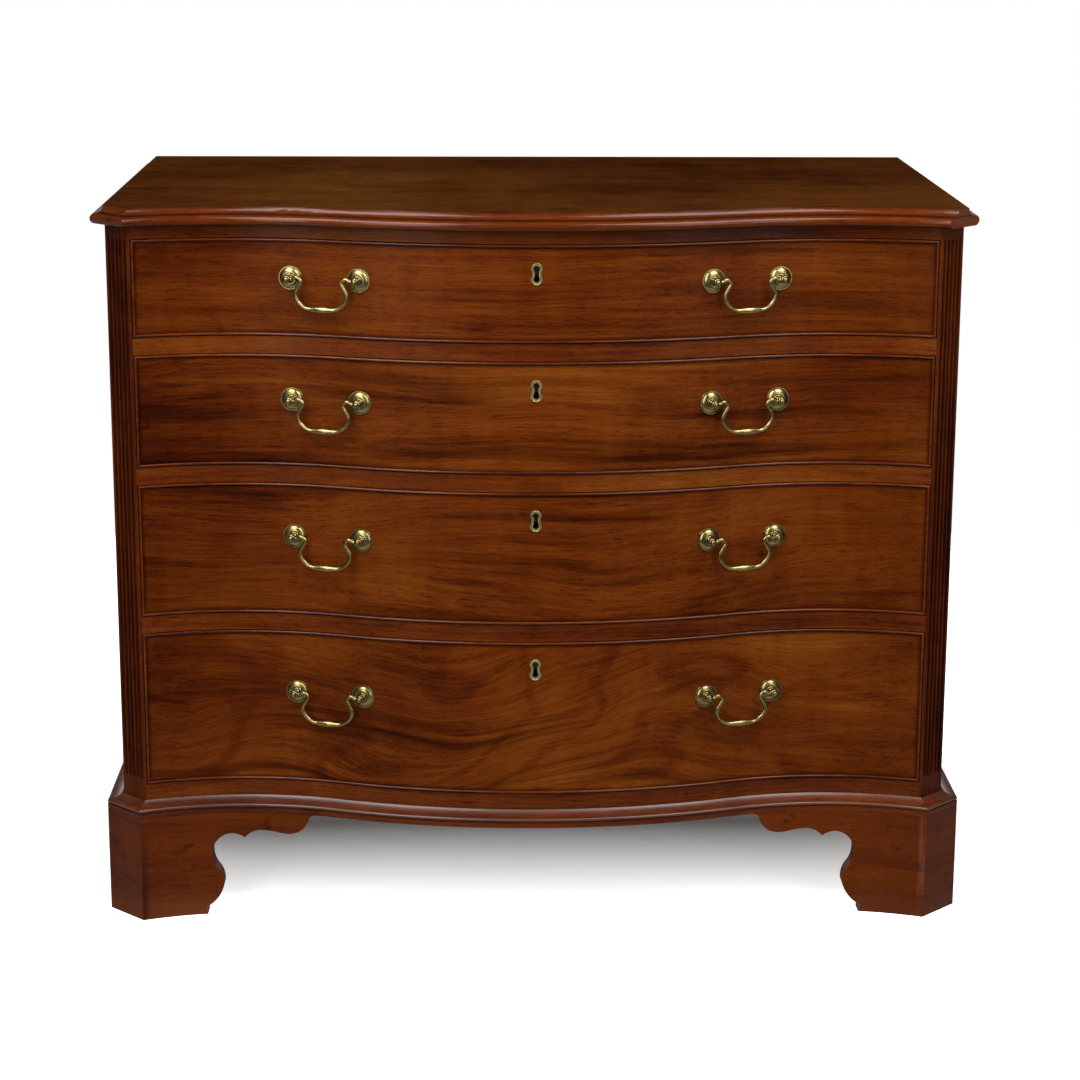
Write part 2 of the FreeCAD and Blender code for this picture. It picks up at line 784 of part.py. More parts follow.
class HandlePost:
    """One end of the right-hand handle: a post through the drawer front, seen from its pivot."""

    def __init__(self, x, inward):
        self.x = x
        self.inward = inward

    def base(self, z):
        return point(self.x, front_y(self.x), z)

    def turned(self, start, out, *profile):
        """A turned piece in flats on an axis that leaves start along out, from (radius, height) steps."""
        turns = [radians(360 * side / turned_sides) for side in range(turned_sides + 1)]
        rings = [Part.makePolygon([point(radius * cos(turn), radius * sin(turn), height) for turn in turns])
                 for radius, height in profile]
        solid = Part.makeLoft(rings, True, True)
        solid.Placement = FreeCAD.Placement(start, FreeCAD.Rotation(upright, out))
        return solid

    def shank(self, z, radius):
        start = self.base(z) - handle_out * shank_inside
        return Part.makeCylinder(radius, shank_inside + collar_lift, start, handle_out)

    def rose(self, z):
        """Domed rose lying on the front round the post."""
        slope = front_slope(self.x)
        out = point(sin(slope), -cos(slope), 0)
        seat = rose_radius ** 2 / (2 * hollow_radius) + contact_gap
        body = self.turned(self.base(z) + out * seat, out,
                           (rose_radius, 0), (rose_radius, rose_rim), (rose_shoulder, rose_shoulder_height),
                           (collar_radius, rose_height))
        return body.cut(self.shank(z, shank_radius + rose_room))

    def post(self, z):
        """Shank, collar, and head bored for the pin of the bail, with a button on its end."""
        head_low = pivot_standoff - head_length / 2
        head_high = pivot_standoff + head_length / 2
        body = self.turned(self.base(z), handle_out,
                           (shank_radius, -shank_inside), (shank_radius, collar_lift),
                           (collar_radius, collar_lift + collar_step), (neck_radius, head_low),
                           (head_radius, head_low + head_bevel), (head_radius, head_high - head_bevel),
                           (button_radius, head_high),
                           (button_radius - button_bevel, head_high + button_height))
        pivot = self.base(z) + handle_out * pivot_standoff
        bore_start = pivot + handle_along * (self.inward * (head_radius - pin_engaged - pin_end_room))
        return body.cut(Part.makeCylinder(pin_radius + pin_clearance, 2 * head_radius, bore_start,
                                          handle_along * self.inward))

    def nut(self, z):
        """Square nut on the inside of the front."""
        low = -(front_thickness / cos(handle_tilt - front_slope(self.x)) + nut_gap + nut_thickness)
        solid = Part.makeBox(nut_width, nut_width, nut_thickness, point(-nut_width / 2, -nut_width / 2, low))
        solid.Placement = FreeCAD.Placement(self.base(z), FreeCAD.Rotation(upright, handle_out))
        return solid.cut(self.shank(z, shank_radius + nut_room))


def handle_posts():
    return [HandlePost(handle_x - handle_spread / 2, 1), HandlePost(handle_x + handle_spread / 2, -1)]


# Direction of a line through both posts of the right-hand handle, and straight out from it
handle_x = case_half - handle_inset
handle_rise = front_y(handle_x + handle_spread / 2) - front_y(handle_x - handle_spread / 2)
handle_tilt = atan2(handle_rise, handle_spread)
handle_along = point(cos(handle_tilt), sin(handle_tilt), 0)
handle_out = point(sin(handle_tilt), -cos(handle_tilt), 0)
pivot_half = hypot(handle_spread, handle_rise) / 2


def bent(corners):
    """Stations along a rod through the (along, up, bend radius) corners: chords round each bend."""
    stations = [corners[0][:2]]
    for before, corner, after in zip(corners, corners[1:], corners[2:]):
        way_in = atan2(corner[1] - before[1], corner[0] - before[0])
        turn = atan2(after[1] - corner[1], after[0] - corner[0]) - way_in
        turn = atan2(sin(turn), cos(turn))
        radius = corner[2]
        reach = radius * tan(abs(turn) / 2)
        along = corner[0] - reach * cos(way_in)
        up = corner[1] - reach * sin(way_in)
        chord = 2 * radius * sin(abs(turn) / bend_chords / 2)
        stations.append((along, up))
        for index in range(bend_chords):
            heading = way_in + turn * (index + 0.5) / bend_chords
            along += chord * cos(heading)
            up += chord * sin(heading)
            stations.append((along, up))
    return stations + [corners[-1][:2]]


def bail(z):
    """Right-hand swan-neck bail, hanging from its pins: a bent rod that swells into a grip."""
    ends_y = [front_y(handle_x + side * handle_spread / 2) for side in (-1, 1)]
    pivot = point(handle_x, sum(ends_y) / 2, z) + handle_out * pivot_standoff
    pin_end = pivot_half - head_radius + pin_engaged
    rod_end = pin_end - pin_length
    half = bent((
        (rod_end, 0, 0),
        (rod_end - pin_shoulder, 0, shoulder_bend),
        (hump_reach, hump_rise, hump_bend),
        (neck_reach, -neck_drop, neck_bend),
        (bow_reach, -bow_drop, bow_bend),
        (grip_reach, -bail_drop, grip_bend),
        (grip_half, -bail_drop, 0),
    ))
    sizes = [pin_radius] * 2 + [rod_radius] * (len(half) - 2)
    stations = half + [(0, -bail_drop)] + [(-along, up) for along, up in reversed(half)]
    sizes = sizes + [grip_radius] + sizes[::-1]

    def section(index):
        """Eight-sided section of the rod at a station, square to the way that the rod runs there."""
        before = stations[max(index - 1, 0)]
        after = stations[min(index + 1, len(stations) - 1)]
        heading = atan2(after[1] - before[1], after[0] - before[0])
        along, up = stations[index]
        corners = []
        for side in range(rod_sides):
            turn = radians(360 * (side + 0.5) / rod_sides)
            across = sizes[index] * cos(turn)
            corners.append(pivot + handle_along * (along - across * sin(heading))
                           + upright * (up + across * cos(heading)) + handle_out * (sizes[index] * sin(turn)))
        return Part.makePolygon(corners + corners[:1])

    rod = Part.makeLoft([section(index) for index in range(len(stations))], True, True)
    pins = []
    for side in (-1, 1):
        start = pivot + handle_along * (side * (rod_end - pin_overlap))
        pins.append(Part.makeCylinder(pin_radius, pin_length + pin_overlap, start, handle_along * side))
    return joined([rod] + pins)


def build():
    os.makedirs("parts", exist_ok=True)
    levels = rail_levels()
    tops = [drawer_bottoms[number] for number in drawer_bottoms]
    sides = pair(side_panel())
    posts = pair(corner_post())
    front_feet = [pair(piece) for piece in front_foot()]
    rear_feet = [pair(piece) for piece in rear_foot()]
    dust_tops = [drawer_bottoms[number] for number in (3, 2, 1)]
    rails = [rail(levels[name], True) for name in ("lower", "middle", "upper")]
    rails = [body.cut(dust_board(top, joinery_gap)) for body, top in zip(rails, dust_tops)]
    runners = [runner(top).cut(dust_board(top, joinery_gap)) for top in dust_tops]
    runners.append(runner(drawer_bottoms[4]))
    export("top_board", [top_board()])
    for hand, name in ((0, "right"), (1, "left")):
        export("side_" + name, [sides[hand]])
        export("corner_post_" + name, [posts[hand]])
        export("foot_front_" + name, [piece[hand] for piece in front_feet])
        export("foot_rear_" + name, [piece[hand] for piece in rear_feet])
    export("foot_blocks", [solid for block in foot_blocks() for solid in pair(block)])
    export("base_moulding", base_moulding())
    export("back_boards", back_boards())
    export("bottom_board", [bottom_board()])
    export("rail_bottom", [rail(levels["bottom"], False)])
    export("rail_top", [rail(levels["top"], True)])
    export("drawer_rails", rails)
    export("dust_boards", [dust_board(top, 0) for top in dust_tops])
    export("drawer_runners", [solid for bearer in runners for solid in pair(bearer)])
    export("drawer_guides", [solid for top in tops for solid in pair(guide(top))])
    export("drawer_stops", [solid for top in tops for solid in pair(drawer_stop(top))])
    for number in sorted(drawer_bottoms):
        drawer = Drawer(number)
        name = "drawer{}_".format(number)
        bails = pair(bail(drawer.handle_z))
        export(name + "front", [drawer.front()])
        export(name + "sides", pair(drawer.side()))
        export(name + "back", [drawer.back()])
        export(name + "bottom", [drawer.bottom(0)])
        export(name + "cock_beads", drawer.cock_beads())
        export(name + "lock", [drawer.lock(), drawer.escutcheon()])
        export(name + "bolt", [drawer.bolt(0)])
        export(name + "handle_posts", drawer.handle_hardware())
        export(name + "bail_right", [bails[0]])
        export(name + "bail_left", [bails[1]])


build()
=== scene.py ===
"""Looks of the serpentine chest of drawers: polished mahogany, oak linings and aged brass."""
from math import asin, atan2, cos, hypot, pi, radians, sin, sqrt, tan

import bmesh
import bpy
from mathutils import Matrix, Vector


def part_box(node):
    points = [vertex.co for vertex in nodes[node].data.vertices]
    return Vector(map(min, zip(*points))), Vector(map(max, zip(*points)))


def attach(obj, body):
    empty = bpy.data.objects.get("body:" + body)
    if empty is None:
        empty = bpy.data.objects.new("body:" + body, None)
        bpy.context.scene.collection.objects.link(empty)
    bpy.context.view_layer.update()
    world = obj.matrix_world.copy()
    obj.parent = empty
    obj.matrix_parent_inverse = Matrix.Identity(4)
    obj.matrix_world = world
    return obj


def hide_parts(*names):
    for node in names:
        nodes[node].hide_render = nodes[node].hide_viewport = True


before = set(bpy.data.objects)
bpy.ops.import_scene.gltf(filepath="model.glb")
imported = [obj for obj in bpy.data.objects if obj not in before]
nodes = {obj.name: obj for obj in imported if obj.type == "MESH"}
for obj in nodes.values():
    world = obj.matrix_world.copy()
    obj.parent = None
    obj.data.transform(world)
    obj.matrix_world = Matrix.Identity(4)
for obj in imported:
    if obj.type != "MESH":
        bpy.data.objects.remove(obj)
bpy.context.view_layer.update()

# Case, in millimetres; depths are measured back from the front corners of the sides
frame_middle = 235.75
case_half = 520.0
case_depth = 555.0
cant_reach = 30.8
flute_pitch = 7.6
flute_low = 176.0
flute_high = 861.0
top_height = 898.0
top_quirk = 889.2
back_board_count = 4

# Serpentine: a bow between two hollows
bow_projection = 70.0
bow_radius = 747.116
bow_centre_y = bow_radius - bow_projection
hollow_radius = 373.0
hollow_x = 364.6
hollow_centre_y = -382.0
meet_angle = atan2(hollow_x, bow_centre_y - hollow_centre_y)

# Base moulding
foot_height = 134.5
base_top = 153.0
base_back = 0.3
base_projection = 20.0
base_groove = 1.4
base_groove_low = foot_height + 6.5
base_nose_low = base_groove_low + base_groove
base_nose_high = base_nose_low + 4.2
base_step = 0.6
base_nose_setback = 3.0
base_cove_foot = 2.5
base_cove_middle = (7.65, 148.712)
base_soft_arris = 0.4

# Drawer fronts and their beads
front_levels = {1: (741.3, 859.3), 2: (580.5, 718.0), 3: (392.0, 557.2), 4: (173.5, 368.7)}
front_half = 486.0
front_thickness = 22.0
bead_thickness = 3.0
bead_proud = 2.0
bead_root = 7.0
mitre_gap = 0.05

# Handles
handle_x = 255.0
handle_spread = 83.0
handle_share = 0.4
pivot_standoff = 12.5
head_radius = 5.0
pin_radius = 2.0
pin_engaged = 3.5
pin_length = 4.5
rod_radius = 2.6
grip_radius = 4.3
grip_half = 19.0
bail_drop = 35.6
grip_level = -30.0
hump_level = -6.0
hump_thinning = 0.25
rose_gap = 0.35
nut_width = 10.0
nut_thickness = 4.0
nut_gap = 0.75

# Locks
keyhole_drop = 35.0
escutcheon_depth = 4.25
border_half_height = 12.7
border_head_half = 5.1
border_foot_half = 6.3
border_radius = 0.85
lock_plate_proud = 3.35
lock_screw_x = 31.0
lock_screw_drops = (6.0, 40.0)
lock_screw_radius = 3.0
key_pin_y = -49.2
key_pin_rise = 6.6
key_pin_radius = 1.5
key_pin_length = 14.5

# Back nails
nail_radius = 3.2
nail_inset = 5.0

# Meshes
weld_distance = 0.002
sharp_angle = radians(42)
arris_angle = radians(28)
flat_angle = radians(0.05)
long_arris = 40.0


def front_y(x, proud=0.0):
    """Line of the serpentine front in plan, grown outward by proud."""
    if x < (bow_radius + proud) * sin(meet_angle):
        return bow_centre_y - sqrt((bow_radius + proud) ** 2 - x ** 2)
    return hollow_centre_y + sqrt((hollow_radius - proud) ** 2 - (x - hollow_x) ** 2)


def front_slope(x):
    """Angle by which the serpentine leaves the straight front at x."""
    if x < bow_radius * sin(meet_angle):
        return asin(x / bow_radius)
    return asin((hollow_x - x) / hollow_radius)


cant_start = Vector((case_half, 0, 0))
cant_end = Vector((case_half - cant_reach, front_y(case_half - cant_reach), 0))
cant_length = (cant_end - cant_start).length
cant_along = (cant_end - cant_start).normalized()
cant_out = Vector((-cant_along.y, cant_along.x, 0))
handle_rise = front_y(handle_x + handle_spread / 2) - front_y(handle_x - handle_spread / 2)
handle_tilt = atan2(handle_rise, handle_spread)
handle_along = Vector((cos(handle_tilt), sin(handle_tilt), 0))
handle_out = Vector((sin(handle_tilt), -cos(handle_tilt), 0))
pivot_half = hypot(handle_spread, handle_rise) / 2
handle_level = {number: high - handle_share * (high - low) for number, (low, high) in front_levels.items()}


class Nodes:
    """A node tree, with short ways to add nodes and link them."""

    def __init__(self, tree):
        self.tree = tree

    def add(self, kind, settings=None, **inputs):
        """A node; an input named like 'Scale' or 'i1' is a fixed value or another node's socket."""
        node = self.tree.nodes.new(kind)
        for key, value in (settings or {}).items():
            setattr(node, key, value)
        for key, value in inputs.items():
            index = int(key[1:]) if key[0] == "i" and key[1:].isdigit() else key
            self.put(node.inputs[index], value)
        return node

    def put(self, socket, value):
        if isinstance(value, bpy.types.NodeSocket):
            self.tree.links.new(value, socket)
        else:
            socket.default_value = value

    def maths(self, operation, first, second=0.0, third=0.0):
        return self.add("ShaderNodeMath", {"operation": operation}, i0=first, i1=second, i2=third).outputs[0]

    def times(self, first, second):
        return self.maths("MULTIPLY", first, second)

    def less(self, first, second):
        return self.maths("SUBTRACT", first, second)

    def off(self, value, middle):
        """How far a value is from the middle, either way."""
        return self.maths("ABSOLUTE", self.less(value, middle))

    def added(self, value, layer, share):
        """Value with a share of a layer added."""
        return self.maths("MULTIPLY_ADD", layer, share, value)

    def spread(self, value, low, high, to_low=0.0, to_high=1.0):
        """Stretch a range of values to another, held at its ends."""
        node = self.add("ShaderNodeMapRange", {"clamp": True}, i0=value, i1=low, i2=high, i3=to_low,
                        i4=to_high)
        return node.outputs[0]


class Finish(Nodes):
    """A material drawn with nodes on Object coordinates, in metres."""

    def __init__(self, name):
        self.material = bpy.data.materials.new(name)
        self.material.use_nodes = True
        super().__init__(self.material.node_tree)
        self.surface = self.tree.nodes["Principled BSDF"]
        self.place = self.add("ShaderNodeTexCoord").outputs["Object"]

    def mapped(self, scale, shift=(0, 0, 0), turn=(0, 0, 0), place=None):
        """The place on the piece, stretched, turned and shifted."""
        node = self.add("ShaderNodeMapping", Vector=place or self.place, Location=shift, Rotation=turn,
                        Scale=scale)
        return node.outputs["Vector"]

    def axis(self, letter, place=None):
        return self.add("ShaderNodeSeparateXYZ", Vector=place or self.place).outputs[letter]

    def millimetres(self, letter):
        return self.times(self.axis(letter), 1000.0)

    def clouds(self, place, size=1.0, detail=2.0, roughness=0.5, bend=0.0):
        node = self.add("ShaderNodeTexNoise", Vector=place, Scale=size, Detail=detail, Roughness=roughness,
                        Distortion=bend)
        return node.outputs[0]

    def streaks(self, stretch, place=None, shift=(0, 0, 0), **kind):
        """Clouds drawn out by different amounts along, through and across the grain."""
        return self.clouds(self.mapped(stretch, shift, place=place), **kind)

    def tones(self, value, *stops):
        """Colours along a value, each stop (value, red, green, blue) in linear light."""
        node = self.add("ShaderNodeValToRGB", Fac=value)
        ramp = node.color_ramp.elements
        while len(ramp) < len(stops):
            ramp.new(0.5)
        for element, (position, *colour) in zip(ramp, stops):
            element.position = position
            element.color = (*colour, 1.0)
        return node.outputs[0]

    def mixed(self, share, first, second, blend="MIX"):
        node = self.add("ShaderNodeMix", {"data_type": "RGBA", "blend_type": blend}, i0=share, i6=first,
                        i7=second)
        return node.outputs[2]

    def stained(self, share, colour, stain):
        """Colour multiplied by a stain, as far as the share goes."""
        return self.mixed(share, colour, (*stain, 1.0), "MULTIPLY")

    def bumped(self, height, depth):
        """Tilt the surface by a height, in metres at full value."""
        node = self.add("ShaderNodeBump", Height=height, Distance=depth, Strength=1.0)
        self.put(self.surface.inputs["Normal"], node.outputs["Normal"])

    def dress(self, **inputs):
        """Set or link the sockets of the surface, with _ for a space in their names."""
        for key, value in inputs.items():
            self.put(self.surface.inputs[key.replace("_", " ")], value)
        return self.material


grain_turns = {"x": (0, 0, 0), "y": (0, 0, radians(90)), "z": (0, radians(90), 0)}


def mahogany(name, seed, grain="x", wave=0.04, lines=(0.0, 120.0), flame=0.0, lean=0.0, tone=0.5, shine=0.08,
             rough=0.34, coat=0.0, polish=0.18, figure=1.0, loops=0.07, wear_and_painted_light=None):
    """Polished mahogany: streaks along the grain, bent by the wave, growth lines and dark leaning flames."""
    wood = Finish(name)
    laid = wood.mapped((1, 1, 1), (seed * 1.73, seed * 0.91, seed * 1.37), grain_turns[grain])
    field = wood.streaks((1.9, 1.6, 4.6), laid, detail=2.0, roughness=0.45, bend=0.2)
    lift = wood.add("ShaderNodeCombineXYZ", Z=wood.times(wood.less(field, 0.5), wave)).outputs[0]
    flow = wood.add("ShaderNodeVectorMath", {"operation": "ADD"}, i0=laid, i1=lift).outputs[0]
    patch = wood.streaks((2.4, 2.0, 5.5), flow, (0.2, 0.6, 0.9), detail=3.0)
    shade = wood.streaks((1.7, 5.0, 30.0), flow, detail=4.0, roughness=0.6, bend=0.25)
    stripe = wood.streaks((4.5, 30.0, 210.0), flow, detail=3.0, roughness=0.6)
    thread = wood.streaks((13.0, 120.0, 640.0), flow, detail=2.0, roughness=0.55)
    dash = wood.spread(wood.streaks((60.0, 300.0, 760.0), flow, detail=1.0), 0.56, 0.70)
    mottle = wood.streaks((36.0, 10.0, 9.0), laid, detail=3.0)
    pore = wood.spread(wood.streaks((75.0, 700.0, 1500.0), flow, detail=2.0), 0.34, 0.47)
    streak = wood.streaks((6.0, 60.0, 170.0), flow, (seed, 0.3, 0.8), detail=4.0, roughness=0.65)
    streak = wood.times(wood.spread(streak, 0.53, 0.66), wood.spread(patch, 0.62, 0.40, 0.25, 1.0))
    swirl, straight = lines
    rings = wood.maths("SINE", wood.added(wood.times(field, swirl), wood.axis("Z", flow), straight))
    rings = wood.spread(rings, 0.70, 1.0)
    layers = ((patch, 0.85), (shade, 0.46), (stripe, 0.38), (thread, 0.40), (mottle, 0.24), (pore, 0.11),
              (dash, -0.18), (streak, -0.16), (rings, -loops))
    value = tone - 1.21 * figure
    for layer, share in layers:
        value = wood.added(value, layer, share * figure)
    colour = wood.tones(value, (0.0, 0.015, 0.0022, 0.0006), (0.25, 0.047, 0.0072, 0.0011),
                        (0.50, 0.096, 0.0178, 0.0018), (0.75, 0.145, 0.0355, 0.0034),
                        (1.0, 0.215, 0.0700, 0.0095))
    if flame:
        tongue = wood.mapped((2.6, 3.0, 42.0), (seed, 0.0, seed), (0, radians(lean), 0), flow)
        tongue = wood.clouds(tongue, detail=4.0, roughness=0.62, bend=0.5)
        where = wood.spread(wood.streaks((3.2, 2.0, 5.0), laid, (0.7, 0.1, 0.4)), 0.36, 0.54)
        burnt = wood.times(wood.times(wood.spread(tongue, 0.48, 0.68), where), flame)
        colour = wood.stained(burnt, colour, (0.36, 0.26, 0.20))
    bruise = wood.streaks((9.0, 9.0, 16.0), laid, (seed, 1.0, 0), detail=4.0)
    colour = wood.stained(wood.spread(bruise, 0.66, 0.78, 0.0, 0.45), colour, (0.30, 0.24, 0.20))
    # The look given for this piece adds its wear, fading, painted shade and painted reflection to the colour
    if wear_and_painted_light:
        colour = wear_and_painted_light(wood, colour)
    wood.bumped(wood.added(wood.times(pore, 0.65), stripe, 0.35), 0.00005)
    smear = wood.streaks((7.0, 7.0, 7.0), shift=(seed, 0, 0), detail=3.0)
    gloss = wood.added(wood.added(rough - 0.16, stripe, 0.12), smear, 0.20)
    # A coat of None is set by the look that adds wear and painted light
    if coat is not None:
        wood.dress(Coat_Weight=coat)
    return wood.dress(Base_Color=colour, Roughness=gloss, Specular_IOR_Level=shine, Coat_Roughness=polish)


def painted_shade_rim(low, high):
    """Painted shade at the two ends of a front and in the angle inside its beads."""
    def wear_and_painted_light(wood, colour):
        across = wood.maths("ABSOLUTE", wood.millimetres("X"))
        blotch = wood.streaks((5.0, 5.0, 9.0), detail=3.0)
        # Painted shade towards the two ends of the front, broken into blotches
        ends = wood.times(wood.spread(across, 280.0, 470.0), wood.spread(blotch, 0.3, 0.7, 0.45, 1.0))
        colour = wood.stained(ends, colour, (0.58, 0.46, 0.38))
        # Painted shade in the angle inside the beads, all round the front
        half = (high - low) / 2 - bead_thickness
        inside = wood.less(half, wood.off(wood.millimetres("Z"), (low + high) / 2))
        inside = wood.maths("MINIMUM", inside, wood.less(front_half - bead_thickness, across))
        darkening = wood.spread(wood.added(inside, blotch, -3.0), -0.8, 3.2, 0.85, 0.0)
        return wood.stained(darkening, colour, (0.30, 0.22, 0.18))
    return wear_and_painted_light


def flute_shade_and_polish(wood, colour):
    """Painted shade and dark polish in the five flutes of a canted corner, and bare ridges between them."""
    across = wood.less(wood.maths("ABSOLUTE", wood.millimetres("X")), case_half)
    back = wood.maths("ADD", wood.millimetres("Y"), frame_middle)
    along = wood.added(wood.times(across, cant_along.x), back, cant_along.y)
    flute = wood.maths("DIVIDE", wood.less(along, cant_length / 2), flute_pitch)
    # Painted shade and dark polish down each flute, none on the ridges
    groove = wood.spread(wood.off(flute, wood.maths("ROUND", flute)), 0.26, 0.40, 0.9, 0.0)
    groove = wood.times(groove, wood.spread(wood.maths("ABSOLUTE", flute), 2.40, 2.45, 1.0, 0.0))
    height = wood.millimetres("Z")
    groove = wood.times(groove, wood.spread(height, flute_low, flute_low + 5.0))
    groove = wood.times(groove, wood.spread(height, flute_high - 5.0, flute_high, 1.0, 0.0))
    return wood.stained(groove, colour, (0.34, 0.28, 0.24))


def shaded_quirk(wood, colour):
    """Painted shade in the groove of the base moulding and at the case; the fascia is dull, the mould
    polished.
    """
    height = wood.millimetres("Z")
    wood.dress(Coat_Weight=wood.spread(height, base_groove_low + 0.5, base_nose_low + 1.1, 0.1, 1.0))
    # Painted shade in the groove and in the angle against the case
    quirk_shade = wood.times(wood.spread(height, base_groove_low - 1.2, base_groove_low + 0.2),
                       wood.spread(height, base_nose_low, base_nose_low + 1.0, 1.0, 0.0))
    against_case = wood.spread(height, base_top - 1.5, base_top - 0.2)
    darkening = wood.times(wood.maths("MAXIMUM", quirk_shade, against_case), 0.75)
    return wood.stained(darkening, colour, (0.32, 0.26, 0.22))


def scuffs_and_floor_sheen(wood, colour):
    """Dark kicks, and a paler band at the floor that is rubbing and a painted reflection of the floor."""
    kick = wood.streaks((26.0, 26.0, 30.0), detail=4.0, roughness=0.65)
    colour = wood.stained(wood.spread(kick, 0.60, 0.68, 0.0, 0.6), colour, (0.28, 0.22, 0.18))
    # Paler towards the floor: rubbing and a painted reflection of the floor
    rubbed = wood.times(wood.spread(wood.millimetres("Z"), 0.0, 40.0, 0.30, 0.0),
                        wood.streaks((9.0, 9.0, 9.0), detail=2.0))
    return wood.mixed(rubbed, colour, (0.20, 0.085, 0.045, 1.0))


def faded_top_quirk_shade(wood, colour):
    """Flat top that the light has turned brown, and painted shade in the angle over the nose of its edge."""
    height = wood.millimetres("Z")
    flat = wood.spread(height, top_height - 0.6, top_height - 0.1)
    # Painted shade in the quirk over the nose
    quirk_shade = wood.spread(wood.off(height, top_quirk), 0.6, 1.8, 0.9, 0.0)
    colour = wood.stained(quirk_shade, colour, (0.30, 0.24, 0.20))
    wood.dress(Coat_Weight=wood.added(0.4, flat, -0.4))
    return wood.stained(flat, colour, (0.55, 0.90, 1.70))


def oak(name, seed, grain="x", tone=0.5, boards=None):
    """Dry unpolished oak with open pores and dust; boards gives the first seam and a board's height."""
    wood = Finish(name)
    laid = wood.mapped((1, 1, 1), (seed * 0.83, seed * 1.21, seed * 1.57), grain_turns[grain])
    shade = wood.streaks((1.8, 14.0, 18.0), laid, detail=4.0, roughness=0.6, bend=0.3)
    stripe = wood.streaks((5.0, 240.0, 300.0), laid, detail=3.0, roughness=0.65)
    flecks = wood.spread(wood.streaks((30.0, 260.0, 120.0), laid, detail=1.0), 0.58, 0.66)
    pore = wood.spread(wood.streaks((60.0, 900.0, 1100.0), laid, detail=1.0), 0.38, 0.50)
    value = tone - 0.70
    for layer, share in ((shade, 0.8), (stripe, 0.35), (flecks, 0.08), (pore, 0.14)):
        value = wood.added(value, layer, share)
    if boards:
        seam, height = boards
        row = wood.maths("DIVIDE", wood.less(wood.millimetres("Z"), seam), height)
        value = wood.added(value, wood.maths("SINE", wood.times(wood.maths("FLOOR", row), 2.4)), 0.10)
    colour = wood.tones(value, (0.0, 0.055, 0.027, 0.011), (0.4, 0.185, 0.100, 0.042),
                        (0.7, 0.31, 0.185, 0.085), (1.0, 0.42, 0.28, 0.145))
    grime = wood.streaks((3.0, 3.0, 3.0), shift=(seed, 2.0, 0), detail=5.0, roughness=0.65)
    colour = wood.stained(wood.spread(grime, 0.35, 0.75, 0.0, 0.45), colour, (0.45, 0.36, 0.27))
    if boards:
        joint = wood.spread(wood.off(row, wood.maths("ROUND", row)), 0.002, 0.016, 0.9, 0.0)
        colour = wood.stained(joint, colour, (0.25, 0.20, 0.15))
    wood.bumped(wood.added(wood.times(pore, 0.5), stripe, 0.5), 0.00022)
    return wood.dress(Base_Color=colour, Roughness=wood.added(0.52, stripe, 0.25), Specular_IOR_Level=0.3)


def brass(name, seed, light=0.5, rough=0.20):
    """Old cast brass, rubbed bright on the high places and brown in the low ones."""
    metal = Finish(name)
    place = metal.mapped((1, 1, 1), (seed, seed * 0.7, seed * 1.3))
    patches = metal.clouds(place, 70.0, detail=5.0, roughness=0.62)
    specks = metal.clouds(place, 900.0, detail=3.0)
    value = metal.added(metal.added(light - 0.34, patches, 0.5), specks, 0.14)
    colour = metal.tones(value, (0.0, 0.045, 0.030, 0.008), (0.35, 0.165, 0.124, 0.042),
                         (0.65, 0.365, 0.292, 0.116), (1.0, 0.640, 0.540, 0.270))
    darkening = metal.add("ShaderNodeAttribute", {"attribute_name": "darkening"}).outputs["Fac"]
    colour = metal.stained(darkening, colour, (0.10, 0.085, 0.05))
    gloss = metal.spread(metal.added(patches, specks, 0.3), 0.35, 0.95, rough, rough + 0.18)
    metal.bumped(metal.added(patches, specks, 0.25), 0.000006)
    return metal.dress(Base_Color=colour, Roughness=gloss, Metallic=1.0)


def lock_brass(name, seed):
    """Dull brass of the lock behind the front, with the pale rubbed escutcheon in its face."""
    metal = Finish(name)
    place = metal.mapped((1, 1, 1), (seed, seed * 0.6, seed * 1.1))
    patches = metal.clouds(place, 60.0, detail=5.0, roughness=0.62)
    specks = metal.clouds(place, 700.0, detail=3.0)
    value = metal.added(metal.times(patches, 0.7), specks, 0.35)
    dull = metal.tones(value, (0.2, 0.060, 0.048, 0.020), (0.8, 0.300, 0.235, 0.095))
    pale = metal.tones(value, (0.2, 0.300, 0.260, 0.130), (0.8, 0.560, 0.500, 0.280))
    escutcheon_back = escutcheon_depth - bow_projection - frame_middle
    face = metal.spread(metal.millimetres("Y"), escutcheon_back, escutcheon_back + 1.0, 1.0, 0.0)
    metal.bumped(metal.added(patches, specks, 0.4), 0.00006)
    return metal.dress(Base_Color=metal.mixed(face, dull, pale),
                       Roughness=metal.spread(value, 0.2, 0.9, 0.30, 0.48), Metallic=0.85)


def iron(name, seed):
    """Dark hand-made iron with a brown bloom."""
    metal = Finish(name)
    bloom = metal.clouds(metal.mapped((1, 1, 1), (seed, 0, seed)), 240.0, detail=4.0, roughness=0.6)
    metal.bumped(bloom, 0.00008)
    return metal.dress(Base_Color=metal.tones(bloom, (0.3, 0.030, 0.024, 0.020), (0.7, 0.110, 0.075, 0.052)),
                       Roughness=metal.spread(bloom, 0.3, 0.7, 0.38, 0.62), Metallic=0.8)


def give(finish, *names):
    """Put one finish on CAD pieces that keep their own shape."""
    for name in names:
        nodes[name].data.materials.clear()
        nodes[name].data.materials.append(finish)


